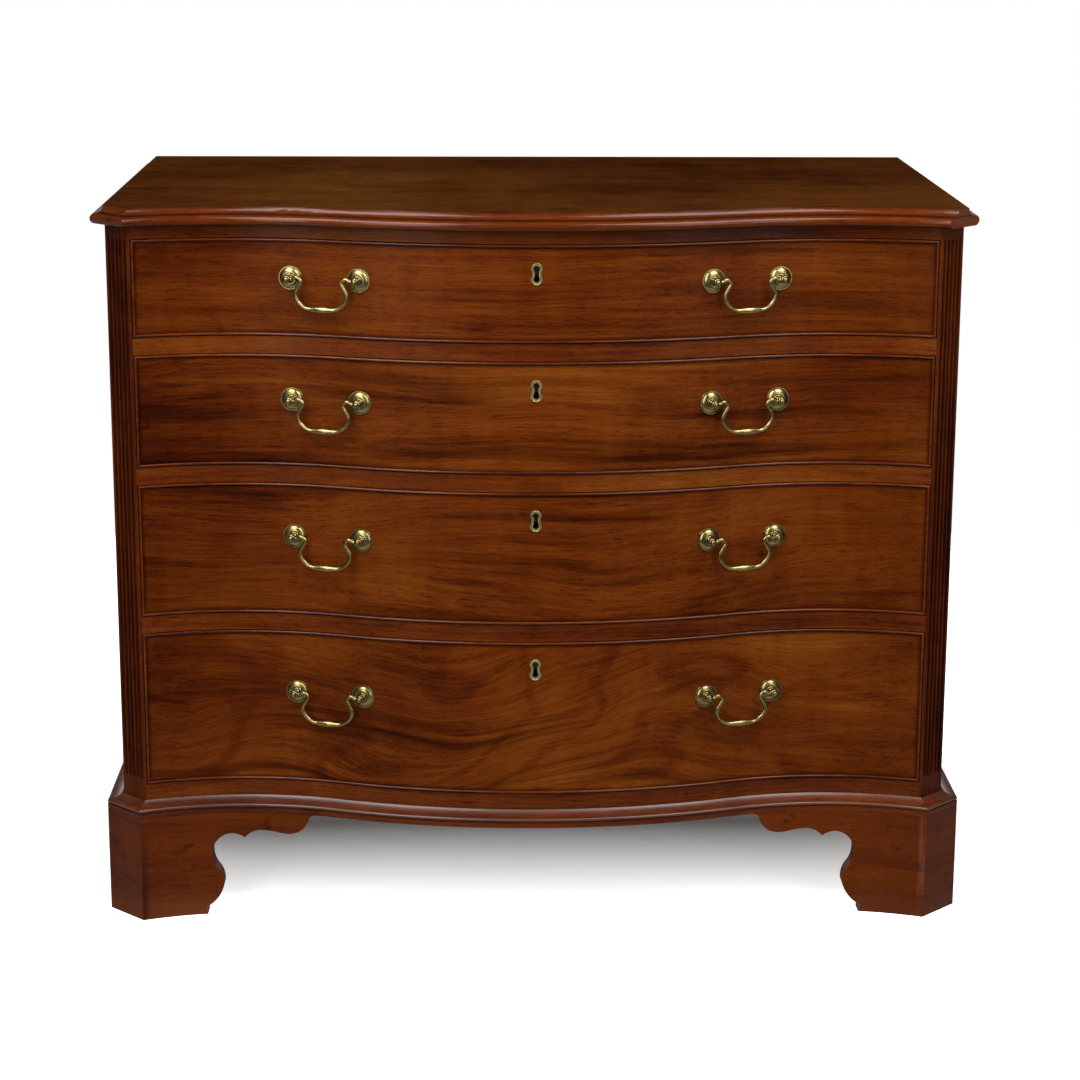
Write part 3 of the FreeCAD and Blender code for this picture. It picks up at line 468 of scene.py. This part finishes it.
def keep(name, shape, body, finish, slot, *replaced, rounded=False):
    """Bring a shape drawn in millimetres into the chest's frame, as a piece that rides on a body."""
    bmesh.ops.remove_doubles(shape, verts=shape.verts, dist=weld_distance)
    bmesh.ops.recalc_face_normals(shape, faces=shape.faces)
    bmesh.ops.translate(shape, verts=shape.verts, vec=(0, -frame_middle, 0))
    bmesh.ops.scale(shape, verts=shape.verts, vec=(0.001, 0.001, 0.001))
    mesh = bpy.data.meshes.new(name)
    shape.to_mesh(mesh)
    shape.free()
    mesh.shade_smooth()
    mesh.set_sharp_from_angle(angle=sharp_angle)
    mesh.materials.append(finish)
    piece = bpy.data.objects.new(name, mesh)
    bpy.context.scene.collection.objects.link(piece)
    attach(piece, body)
    if rounded:
        piece.modifiers.new("even_shading", "WEIGHTED_NORMAL").keep_sharp = True
    if replaced:
        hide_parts(*replaced)


def edges_of(made):
    return [item for item in made if isinstance(item, bmesh.types.BMEdge)]


def verts_of(made):
    return [item for item in made if isinstance(item, bmesh.types.BMVert)]


def all_of(shape):
    return shape.verts[:] + shape.edges[:] + shape.faces[:]


def softened(node, width):
    """Copy of a CAD piece, its triangles merged and its long arrises rounded, in millimetres."""
    shape = bmesh.new()
    shape.from_mesh(nodes[node].data)
    bmesh.ops.scale(shape, verts=shape.verts, vec=(1000, 1000, 1000))
    bmesh.ops.translate(shape, verts=shape.verts, vec=(0, frame_middle, 0))
    bmesh.ops.remove_doubles(shape, verts=shape.verts, dist=weld_distance)
    bmesh.ops.dissolve_limit(shape, angle_limit=flat_angle, verts=shape.verts, edges=shape.edges)
    corners = [edge for edge in shape.edges
               if len(edge.link_faces) == 2 and edge.calc_face_angle(0) > arris_angle]
    arrises = [edge for edge in corners if edge.calc_length() > long_arris]
    bmesh.ops.bevel(shape, geom=arrises, offset=width, offset_type="OFFSET", segments=3, profile=0.5,
                    affect="EDGES", material=-1)
    return shape


def chain(shape, points, closed=False):
    """Vertices joined by edges, in turn."""
    verts = [shape.verts.new(point) for point in points]
    ends = verts[1:] + verts[:1] if closed else verts[1:]
    return verts + [shape.edges.new(two) for two in zip(verts, ends)]


def arc_through(start, middle, end, steps):
    """Points after start on the arc from start through middle to end, in the plane of a section."""
    start, middle, end = Vector(start), Vector(middle), Vector(end)
    one, two = start - end, middle - end
    centre = end + Vector((two.y * one.length_squared - one.y * two.length_squared,
                           one.x * two.length_squared - two.x * one.length_squared)) / (2 * one.cross(two))
    begin, via, finish = (atan2(*(point - centre).yx) for point in (start, middle, end))
    turn = (finish - begin) % (2 * pi)
    if (via - begin) % (2 * pi) > turn:
        turn -= 2 * pi
    angles = [begin + turn * step / steps for step in range(1, steps + 1)]
    return [centre + (start - centre).length * Vector((cos(angle), sin(angle))) for angle in angles]


def on_axis(start, out):
    """Stands a piece drawn along z at start, pointing out."""
    return Matrix.Translation(start) @ out.to_track_quat("Z", "Y").to_matrix().to_4x4()


def turned(shape, start, out, *profile):
    """A lathe-turned piece from (radius, height) steps; a third value is the dirt that has gathered there."""
    soil = shape.verts.layers.float.get("darkening") or shape.verts.layers.float.new("darkening")
    before = set(shape.verts)
    line = chain(shape, [(step[0], 0, step[1]) for step in profile])
    for vert, step in zip(verts_of(line), profile):
        vert[soil] = step[2] if len(step) > 2 else 0.0
    bmesh.ops.spin(shape, geom=line, cent=(0, 0, 0), axis=(0, 0, 1), angle=2 * pi, steps=40, use_merge=True)
    made = [vert for vert in shape.verts if vert not in before]
    bmesh.ops.transform(shape, matrix=on_axis(start, out), verts=made)


def cut_off(shape, place, outward):
    """Cut a shape on a plane, drop what lies outward of it and close the end."""
    cut = bmesh.ops.bisect_plane(shape, geom=all_of(shape), plane_co=place, plane_no=outward,
                                 clear_outer=True)
    bmesh.ops.edgeloop_fill(shape, edges=edges_of(cut["geom_cut"]))


def mirrored(shape):
    bmesh.ops.mirror(shape, geom=all_of(shape), axis="X", merge_dist=weld_distance)


def merged(shape, other):
    """Add a second shape to the first."""
    spare = bpy.data.meshes.new("spare")
    other.to_mesh(spare)
    other.free()
    shape.from_mesh(spare)
    bpy.data.meshes.remove(spare)


def along_front(section, bow_steps, hollow_steps, past):
    """Right half of a strip along the serpentine, to an angle past the deepest line of the hollow."""
    shape = bmesh.new()
    line = chain(shape, [(0, -bow_projection - proud, height) for proud, height in section], closed=True)
    bow = bmesh.ops.spin(shape, geom=line, cent=(0, bow_centre_y, 0), axis=(0, 0, 1), angle=meet_angle,
                         steps=bow_steps)
    bmesh.ops.spin(shape, geom=bow["geom_last"], cent=(hollow_x, hollow_centre_y, 0), axis=(0, 0, 1),
                   angle=-meet_angle - past, steps=hollow_steps)
    return shape


def run_out(corners, way):
    """A straight strip with the given corners, run out along the way."""
    shape = bmesh.new()
    line = chain(shape, corners, closed=True)
    end = bmesh.ops.extrude_edge_only(shape, edges=edges_of(line))["geom"]
    bmesh.ops.translate(shape, verts=verts_of(end), vec=way)
    return shape


# Section of a cock bead, square behind and round in front: (proud of the front, across)
bead_shoulder = bead_proud - bead_thickness / 2
bead_section = (
    (-bead_root, 0.0),
    (bead_shoulder, 0.0),
    *arc_through((bead_shoulder, 0.0), (bead_proud, bead_thickness / 2), (bead_shoulder, bead_thickness), 8),
    (-bead_root, bead_thickness),
)


def lying_bead(level):
    """Right half of a bead that follows the serpentine, longer than the front is wide."""
    return along_front([(proud, level + across) for proud, across in bead_section], 20, 18, radians(21))


def standing_bead(low, high):
    """Right-hand upright bead, as high as the front."""
    inner = front_half - bead_thickness
    corners = [(inner + across, front_y(inner + across, proud), low) for proud, across in bead_section]
    return run_out(corners, (0, 0, high - low))


def cock_beads(low, high):
    """The four beads round a drawer front, mitred at its corners."""
    beads = lying_bead(high - bead_thickness)
    cut_off(beads, (front_half - mitre_gap, 0, high), (1, 0, -1))
    foot = lying_bead(low)
    cut_off(foot, (front_half - mitre_gap, 0, low), (1, 0, 1))
    upright = standing_bead(low, high)
    cut_off(upright, (front_half, 0, high), (-1, 0, 1))
    cut_off(upright, (front_half, 0, low), (-1, 0, -1))
    merged(beads, foot)
    merged(beads, upright)
    mirrored(beads)
    return beads


# Section of the base moulding, from its fascia over groove, nose and cove: (proud of the case, height)
base_nose_foot = (base_projection - base_step, base_nose_low)
base_nose_head = (base_projection - base_nose_setback, base_nose_high)
base_section = (
    (base_back, foot_height),
    (base_projection - base_soft_arris, foot_height),
    (base_projection, foot_height + base_soft_arris),
    (base_projection, base_groove_low - base_soft_arris),
    *arc_through((base_projection, base_groove_low),
                 (base_projection - base_groove, base_groove_low + base_groove / 2), base_nose_foot, 4),
    *arc_through(base_nose_foot, (base_projection, (base_nose_low + base_nose_high) / 2), base_nose_head, 8),
    *arc_through(base_nose_head, base_cove_middle, (base_cove_foot, base_top), 10),
    (base_back, base_top),
)


def moulded(section, past=40.0):
    """A moulding round front, canted corners and sides of the case, in mitred lengths."""
    front = along_front(section, 24, 26, radians(26))
    before_cant = cant_start - cant_along * past
    cant = run_out([before_cant + cant_out * proud + Vector((0, 0, height)) for proud, height in section],
                   cant_along * (cant_length + 2 * past))
    side = run_out([(case_half + proud, -past, height) for proud, height in section],
                   (0, case_depth + 2 * past, 0))
    cut_off(side, (0, case_depth, 0), (0, 1, 0))
    slope = front_slope(cant_end.x)
    front_out = Vector((sin(slope), -cos(slope), 0))
    side_out = Vector((1, 0, 0))
    for place, one, other, out in ((cant_end, front, cant, front_out + cant_out),
                                   (cant_start, cant, side, cant_out + side_out)):
        across = Vector((-out.y, out.x, 0))
        if across.dot(cant_along) > 0:
            across.negate()
        cut_off(one, place, across)
        cut_off(other, place, -across)
    merged(front, cant)
    merged(front, side)
    mirrored(front)
    return front


def bent(corners, chords=10):
    """Stations (along, up, heading) on a rod through (along, up, bend radius) corners."""
    first, second = corners[:2]
    stations = [(first[0], first[1], atan2(second[1] - first[1], second[0] - first[0]))]
    for before, corner, after in zip(corners, corners[1:], corners[2:]):
        way_in = atan2(corner[1] - before[1], corner[0] - before[0])
        turn = atan2(after[1] - corner[1], after[0] - corner[0]) - way_in
        turn = atan2(sin(turn), cos(turn))
        reach = corner[2] * tan(abs(turn) / 2)
        along, up = corner[0] - reach * cos(way_in), corner[1] - reach * sin(way_in)
        chord = 2 * corner[2] * sin(abs(turn) / chords / 2)
        stations.append((along, up, way_in))
        for index in range(chords):
            heading = way_in + turn * (index + 0.5) / chords
            along += chord * cos(heading)
            up += chord * sin(heading)
            stations.append((along, up, way_in + turn * (index + 1) / chords))
    return stations


def rod_along(shape, steps, capped):
    """A round rod run out ring by ring through (along, up, heading, radius) steps in the x-z plane."""
    at_along, at_up, at_heading, at_size = steps[0]
    stand = Matrix.Translation((at_along, 0, at_up)) @ Matrix.Rotation(radians(90) - at_heading, 4, "Y")
    circle = bmesh.ops.create_circle(shape, cap_ends=capped, segments=24, radius=at_size, matrix=stand)
    edges = list({edge for vert in circle["verts"] for edge in vert.link_edges})
    for along, up, heading, size in steps[1:]:
        ring = bmesh.ops.extrude_edge_only(shape, edges=edges)["geom"]
        verts, edges = verts_of(ring), edges_of(ring)
        bmesh.ops.translate(shape, verts=verts, vec=(along - at_along, 0, up - at_up))
        turn = Matrix.Rotation(at_heading - heading, 3, "Y")
        bmesh.ops.rotate(shape, verts=verts, cent=(along, 0, up), matrix=turn)
        growth = size / at_size
        bmesh.ops.scale(shape, verts=verts, vec=(growth, growth, growth),
                        space=Matrix.Translation((-along, 0, -up)))
        at_along, at_up, at_heading, at_size = along, up, heading, size


def rod_size(along, up):
    """Radius of the bail's rod: it swells into a grip at the bottom and thins over the hump."""
    if up < grip_level:
        swell = 0.5 + 0.5 * cos(pi * min(abs(along) / grip_half, 1.0))
        return rod_radius + (grip_radius - rod_radius) * swell
    return rod_radius - hump_thinning * (up > hump_level)


def swan_bail(side, level):
    """Swan-neck bail between its posts: half of it is run out, then mirrored."""
    shape = bmesh.new()
    pin_end = pivot_half - head_radius + pin_engaged
    rod_end = pin_end - pin_length
    shoulder = rod_end + 0.6
    half = bent((
        (rod_end, 0, 0),
        (rod_end - 0.8, 0, 4.0),
        (30.6, 3.4, 4.6),
        (24.4, -2.2, 3.0),
        (32.4, -15.0, 12.0),
        (32.4, -24.5, 17.0),
        (20.0, -bail_drop, 20.0),
        (0, -bail_drop, 0),
    ))
    grip_start, drop, heading = half[-1]
    grip = [(grip_start * (1 - step / 16), drop, heading) for step in range(1, 17)]
    steps = [(pin_end, 0, pi, pin_radius), (shoulder, 0, pi, pin_radius), (shoulder, 0, pi, rod_radius - 0.3)]
    steps += [(along, up, heading, rod_size(along, up)) for along, up, heading in half + grip]
    rod_along(shape, steps, True)
    mirrored(shape)
    middle_y = (front_y(handle_x - handle_spread / 2) + front_y(handle_x + handle_spread / 2)) / 2
    pivot = Vector((handle_x, middle_y, level)) + handle_out * pivot_standoff
    facing = Matrix((handle_along, -handle_out, Vector((0, 0, 1)))).transposed().to_4x4()
    bmesh.ops.transform(shape, matrix=Matrix.Translation(pivot) @ facing, verts=shape.verts)
    bmesh.ops.scale(shape, vec=(side, 1, 1), verts=shape.verts)
    return shape


def escutcheon_border(level):
    """Raised bead round the keyhole's escutcheon, waisted in the middle."""
    shape = bmesh.new()
    half = bent((
        (0, border_half_height, 0),
        (border_head_half, border_half_height, 5.0),
        (border_head_half, -2.0, 5.0),
        (border_foot_half, -border_half_height, 5.6),
        (0, -border_half_height, 0),
    ))
    half.append((0, -border_half_height, half[-1][2]))
    rod_along(shape, [(along, up, heading, border_radius) for along, up, heading in half], False)
    mirrored(shape)
    bmesh.ops.translate(shape, verts=shape.verts, vec=(0, -bow_projection - 0.3, level))
    return shape


def square_nut(shape, start, out, low):
    """Filed square nut inside the front, with softened corners."""
    size = Matrix.Diagonal((nut_width, nut_width, nut_thickness, 1.0))
    stand = on_axis(start, out) @ Matrix.Translation((0, 0, low + nut_thickness / 2)) @ size
    made = bmesh.ops.create_cube(shape, size=1.0, matrix=stand)["verts"]
    edges = list({edge for vert in made for edge in vert.link_edges})
    bmesh.ops.bevel(shape, geom=edges, offset=0.5, segments=2, profile=0.5, affect="EDGES", material=-1)


# Steps (radius, height, dirt) of the turned roses and posts, with heights outward from the drawer front
rose_rim = ((3.2, 0.0), (14.6, 0.0, 0.5), (14.75, 0.15), (14.75, 0.75), (14.5, 1.05), (13.6, 1.15))
rose_quirk = ((13.15, 1.05, 0.7), (12.7, 1.15, 0.8))
rose_dome = ((12.3, 1.6), *arc_through((12.3, 1.6), (9.8, 3.3), (6.9, 4.15), 4))
rose_bead = ((6.5, 4.0, 0.8), (6.2, 4.05, 0.9), (5.9, 4.6, 0.2), (5.4, 4.95), (4.9, 5.0, 0.4))
rose_seat = ((4.5, 5.0, 1.0), (3.2, 5.0, 1.0), (3.2, 0.0))
post_shank = ((0.0, -30.0), (2.2, -30.0), (2.6, -29.6), (2.6, 5.6, 1.0))
post_collar = ((4.1, 6.0, 0.3), (4.5, 6.5), (4.3, 7.0))
post_neck = ((3.6, 7.4, 0.7), (3.4, 7.9, 1.0), (3.7, 8.5, 0.5))
post_head = ((4.5, 9.2), (4.95, 10.4), (5.05, 12.5), (4.95, 14.6), (4.6, 15.7), (3.9, 16.3, 0.2))
post_quirk = ((3.2, 16.5, 0.9), (2.8, 16.55, 1.0))
post_button = ((3.0, 17.0, 0.2), (3.0, 17.8), (2.4, 18.5), (1.3, 18.85), (0.0, 18.95))


def roses_and_posts(level):
    """Both handles' roses, turned posts and nuts."""
    shape = bmesh.new()
    for x in (handle_x - handle_spread / 2, handle_x + handle_spread / 2):
        slope = front_slope(x)
        square_out = Vector((sin(slope), -cos(slope), 0))
        base = Vector((x, front_y(x), level))
        turned(shape, base + square_out * rose_gap, square_out, *rose_rim, *rose_quirk, *rose_dome,
               *rose_bead, *rose_seat)
        turned(shape, base, handle_out, *post_shank, *post_collar, *post_neck, *post_head, *post_quirk,
               *post_button)
        inside = front_thickness / cos(handle_tilt - slope)
        square_nut(shape, base, handle_out, -inside - nut_gap - nut_thickness)
    mirrored(shape)
    return shape


def screws(places, out, radius):
    """Countersunk screw heads with a straight slot."""
    shape = bmesh.new()
    for count, place in enumerate(places):
        head = bmesh.new()
        bmesh.ops.create_circle(head, cap_ends=True, segments=28, radius=radius)
        for side in (-1, 1):
            bmesh.ops.bisect_plane(head, geom=all_of(head), plane_co=(side * radius * 0.11, 0, 0),
                                   plane_no=(side, 0, 0))
        slot = [face for face in head.faces if abs(face.calc_center_median().x) < radius * 0.05]
        sunk = bmesh.ops.extrude_face_region(head, geom=slot)["geom"]
        bmesh.ops.translate(head, verts=verts_of(sunk), vec=(0, 0, -radius * 0.22))
        bmesh.ops.delete(head, geom=slot, context="FACES_ONLY")
        rim = [edge for edge in head.edges if edge.is_boundary]
        skirt = bmesh.ops.extrude_edge_only(head, edges=rim)["geom"]
        bmesh.ops.translate(head, verts=verts_of(skirt), vec=(0, 0, -0.25))
        driven = Matrix.Rotation(radians(37 + 61 * count), 4, "Z")
        bmesh.ops.transform(head, matrix=on_axis(place, out) @ driven, verts=head.verts)
        merged(shape, head)
    return shape


def nails(places, out, radius):
    """Flattened hand-made nail heads."""
    shape = bmesh.new()
    for place in places:
        turned(shape, place, out, (0.0, -0.4), (radius * 0.9, -0.4), (radius, 0.0), (radius * 0.96, 0.22),
               (radius * 0.6, 0.42), (0.0, 0.5))
    return shape


# Mahogany of the case
top_finish = mahogany("top_mahogany", 3.1, wave=0.06, lines=(10.0, 60.0), flame=0.7, lean=4.0, tone=0.42,
                      shine=0.0, coat=None, figure=0.7, wear_and_painted_light=faded_top_quirk_shade)
base_finish = mahogany("base_mahogany", 11.2, wave=0.02, tone=0.34, shine=0.06, rough=0.28, coat=None,
                       polish=0.36, wear_and_painted_light=shaded_quirk)
side_finish = mahogany("side_mahogany", 5.7, "z", wave=0.07, lines=(14.0, 70.0), flame=0.4, tone=0.47,
                        shine=0.02)
post_finish = mahogany("post_mahogany", 8.3, "z", wave=0.02, tone=0.31, shine=0.03, rough=0.30,
                        wear_and_painted_light=flute_shade_and_polish)
rail_finish = mahogany("rail_mahogany", 9.9, wave=0.03, flame=0.6, lean=5.0, tone=0.49, rough=0.30)
foot_finish = mahogany("foot_mahogany", 12.6, wave=0.12, lines=(22.0, 30.0), flame=0.4, lean=25.0, tone=0.40,
                       shine=0.06, figure=0.6, wear_and_painted_light=scuffs_and_floor_sheen)
give(top_finish, "top_board")
give(side_finish, "side_left", "side_right")
give(post_finish, "corner_post_left", "corner_post_right")
give(rail_finish, "rail_top", "drawer_rails", "rail_bottom")
give(foot_finish, "foot_rear_left", "foot_rear_right")
keep("base_polished", moulded(base_section), "carcase", base_finish, "mahogany", "base_moulding")

# Front feet, whose long arrises years of polish have rounded
for hand in ("left", "right"):
    foot = f"foot_front_{hand}"
    keep(f"foot_polished_{hand}", softened(foot, 0.9), "carcase", foot_finish, "mahogany", foot, rounded=True)

# Oak linings and back boards
(back_left, _, back_low), (back_right, back_far, back_high) = [[1000 * side for side in corner]
                                                               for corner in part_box("back_boards")]
board_height = (back_high - back_low) / back_board_count
lining_long = oak("lining_oak_across", 2.2)
lining_deep = oak("lining_oak_deep", 4.4, "y")
fixing_iron = iron("fixing_iron", 1.3)
give(oak("back_oak", 6.6, tone=0.46, boards=(back_low, board_height)), "back_boards")
give(lining_long, "dust_boards", "bottom_board", "drawer_stops")
give(lining_deep, "drawer_runners", "drawer_guides", "foot_blocks")

# Drawers
bead_finish = mahogany("bead_mahogany", 14.8, wave=0.01, tone=0.40, shine=0.14, rough=0.26, coat=0.2)
figures = {
    1: dict(seed=21.4, wave=0.02, lines=(3.0, 160.0), flame=0.6, lean=3.0, tone=0.50),
    2: dict(seed=34.9, wave=0.05, lines=(8.0, 110.0), flame=1.0, lean=-16.0, tone=0.55),
    3: dict(seed=47.2, wave=0.10, lines=(16.0, 80.0), flame=1.0, lean=9.0, tone=0.54),
    4: dict(seed=62.5, wave=0.22, lines=(46.0, 10.0), flame=1.0, lean=-8.0, tone=0.56, loops=0.12),
}
# Each drawer's brass is darker than the one above it: painted shade lower down the chest
handle_painted_shade = {1: 0.55, 2: 0.52, 3: 0.50, 4: 0.47}
for number, (low, high) in front_levels.items():
    drawer = f"drawer{number}"
    level = handle_level[number]
    front_finish = mahogany(drawer + "_mahogany", shine=0.04, wear_and_painted_light=painted_shade_rim(low, high), **figures[number])
    give(front_finish, drawer + "_front")
    give(lining_deep, drawer + "_sides")
    give(lining_long, drawer + "_back", drawer + "_bottom")
    give(lock_brass(drawer + "_lock_brass", number * 1.9), drawer + "_lock", drawer + "_bolt")
    keep(drawer + "_bead_set", cock_beads(low, high), drawer, bead_finish, "mahogany", drawer + "_cock_beads")
    handle_brass = brass(drawer + "_handle_brass", number * 2.7, handle_painted_shade[number])
    keep(drawer + "_rose_set", roses_and_posts(level), drawer, handle_brass, "brass",
         drawer + "_handle_posts")
    for hand, side in (("left", -1), ("right", 1)):
        bail = f"{drawer}_bail_{hand}"
        keep(f"{drawer}_swan_bail_{hand}", swan_bail(side, level), bail, handle_brass, "brass", bail)
    plate_y = front_thickness - bow_projection + lock_plate_proud
    corners = [Vector((x, plate_y, high - drop))
               for x in (-lock_screw_x, lock_screw_x) for drop in lock_screw_drops]
    keep(drawer + "_lock_screws", screws(corners, Vector((0, 1, 0)), lock_screw_radius), drawer, fixing_iron,
         "brass")
    pin = bmesh.new()
    turned(pin, Vector((0, key_pin_y, high - keyhole_drop + key_pin_rise)), Vector((0, -1, 0)),
           (0.0, 0.0), (key_pin_radius, 0.0), (key_pin_radius, key_pin_length - 0.5),
           (key_pin_radius - 0.4, key_pin_length), (0.0, key_pin_length))
    keep(drawer + "_key_pin", pin, drawer, fixing_iron, "brass")
    border_brass = brass(drawer + "_border_brass", number * 3.3, 0.66, 0.3)
    keep(drawer + "_escutcheon_border", escutcheon_border(high - keyhole_drop), drawer, border_brass, "brass")

# Nails at both ends of the back boards
nail_places = [Vector((x, back_far + frame_middle, back_low + board_height * (row + share)))
               for row in range(back_board_count) for share in (0.18, 0.82)
               for x in (back_left + nail_inset, back_right - nail_inset)]
keep("back_nails", nails(nail_places, Vector((0, 1, 0)), nail_radius), "carcase", fixing_iron, "brass")


# Studio
def pale_floor():
    """White paper: lit round the chest, so that its shadow stays, and white to the eye farther off."""
    material = bpy.data.materials.new("pale_floor")
    material.use_nodes = True
    paper = Nodes(material.node_tree)
    paper.tree.nodes.clear()
    rays = paper.add("ShaderNodeLightPath").outputs
    past = paper.add("ShaderNodeTexCoord").outputs["Object"]
    nothing, lit_middle, lit_half = (0.0, 0.0, 0.0), (0.0, 0.12, 0.0), (0.40, 0.05, 0.0)
    for operation, other in (("SUBTRACT", lit_middle), ("ABSOLUTE", nothing), ("SUBTRACT", lit_half),
                             ("MAXIMUM", nothing)):
        past = paper.add("ShaderNodeVectorMath", {"operation": operation}, i0=past, i1=other).outputs[0]
    distance = paper.add("ShaderNodeVectorMath", {"operation": "LENGTH"}, i0=past).outputs["Value"]
    far = paper.spread(distance, 0.0, 0.33, 0.02, 1.0)
    mirror = paper.maths("ADD", rays["Is Glossy Ray"], rays["Is Transmission Ray"])
    eye = paper.added(rays["Is Camera Ray"], mirror, 0.25)
    glow = paper.add("ShaderNodeEmission", Strength=paper.times(eye, far)).outputs[0]
    shade = paper.spread(rays["Is Camera Ray"], 0.0, 1.0, 0.30, 0.86)
    paint = paper.add("ShaderNodeBsdfDiffuse", Color=shade).outputs[0]
    both = paper.add("ShaderNodeAddShader", i0=paint, i1=glow).outputs[0]
    paper.add("ShaderNodeOutputMaterial", Surface=both)
    return material


def soft_box(name, place, target, width, height, watts, mirrored_in_polish=True):
    """A soft lamp that faces its target."""
    lamp = bpy.data.lights.new(name, "AREA")
    lamp.shape = "RECTANGLE"
    lamp.size = width
    lamp.size_y = height
    lamp.energy = watts
    holder = bpy.data.objects.new(name, lamp)
    bpy.context.scene.collection.objects.link(holder)
    holder.visible_glossy = mirrored_in_polish
    holder.location = place
    holder.rotation_euler = (Vector(target) - Vector(place)).to_track_quat("-Z", "Y").to_euler()


sheet = bmesh.new()
bmesh.ops.create_grid(sheet, x_segments=1, y_segments=1, size=1.0)
bmesh.ops.scale(sheet, verts=sheet.verts, vec=(1.7, 1.35, 1.0))
bmesh.ops.translate(sheet, verts=sheet.verts, vec=(0, 0.4, 0))
floor_mesh = bpy.data.meshes.new("floor")
sheet.to_mesh(floor_mesh)
sheet.free()
floor_mesh.materials.append(pale_floor())
floor = bpy.data.objects.new("floor", floor_mesh)
bpy.context.scene.collection.objects.link(floor)

soft_box("high_left_box", (-1.2, -1.5, 2.7), (0, -0.1, 0.4), 1.4, 1.2, 66.0)
soft_box("high_right_box", (1.2, -1.5, 2.7), (0, -0.1, 0.4), 1.4, 1.2, 60.0)
soft_box("left_box", (-1.5, -3.0, 1.5), (0, -0.1, 0.45), 0.9, 2.2, 38.0)
soft_box("right_box", (2.0, -3.0, 1.5), (0, -0.1, 0.45), 0.9, 2.2, 28.0)
soft_box("back_box", (0.0, 3.0, 1.9), (0, 0.3, 0.45), 2.6, 1.2, 48.0, mirrored_in_polish=False)

# World: white to the eye, white low behind the chest in polish and metal, and faint as light
world = bpy.data.worlds.new("studio")
bpy.context.scene.world = world
world.use_nodes = True
air = Nodes(world.node_tree)
rays = air.add("ShaderNodeLightPath").outputs
way = air.add("ShaderNodeTexCoord").outputs["Generated"]
heading = air.add("ShaderNodeSeparateXYZ", Vector=way).outputs
backdrop = air.times(air.spread(heading["Y"], 0.0, 0.3), air.spread(heading["Z"], 0.06, 0.14, 1.0, 0.0))
mirror = air.maths("ADD", rays["Is Glossy Ray"], rays["Is Transmission Ray"])
white = air.maths("MAXIMUM", air.times(mirror, backdrop), rays["Is Camera Ray"])
background = air.tree.nodes["Background"]
air.put(background.inputs["Color"], (1, 1, 1, 1))
air.put(background.inputs["Strength"], air.maths("MAXIMUM", white, 0.10))

# Camera
eye = Vector((-0.0662, -3.5310, 1.300))
yaw, pitch, roll = 0.0221, 0.2434, 0.004
forward = Vector((sin(yaw) * cos(pitch), cos(yaw) * cos(pitch), -sin(pitch)))
level_right = Vector((cos(yaw), -sin(yaw), 0))
level_up = level_right.cross(forward)
right = cos(roll) * level_right + sin(roll) * level_up
up = cos(roll) * level_up - sin(roll) * level_right
lens = bpy.data.cameras.new("view")
lens.lens = 90.97
lens.sensor_width = 36.0
lens.sensor_fit = "HORIZONTAL"
camera = bpy.data.objects.new("view", lens)
bpy.context.scene.collection.objects.link(camera)
camera.matrix_world = Matrix.Translation(eye) @ Matrix((right, up, -forward)).transposed().to_4x4()
bpy.context.scene.camera = camera
bpy.context.scene.view_settings.view_transform = "Standard"
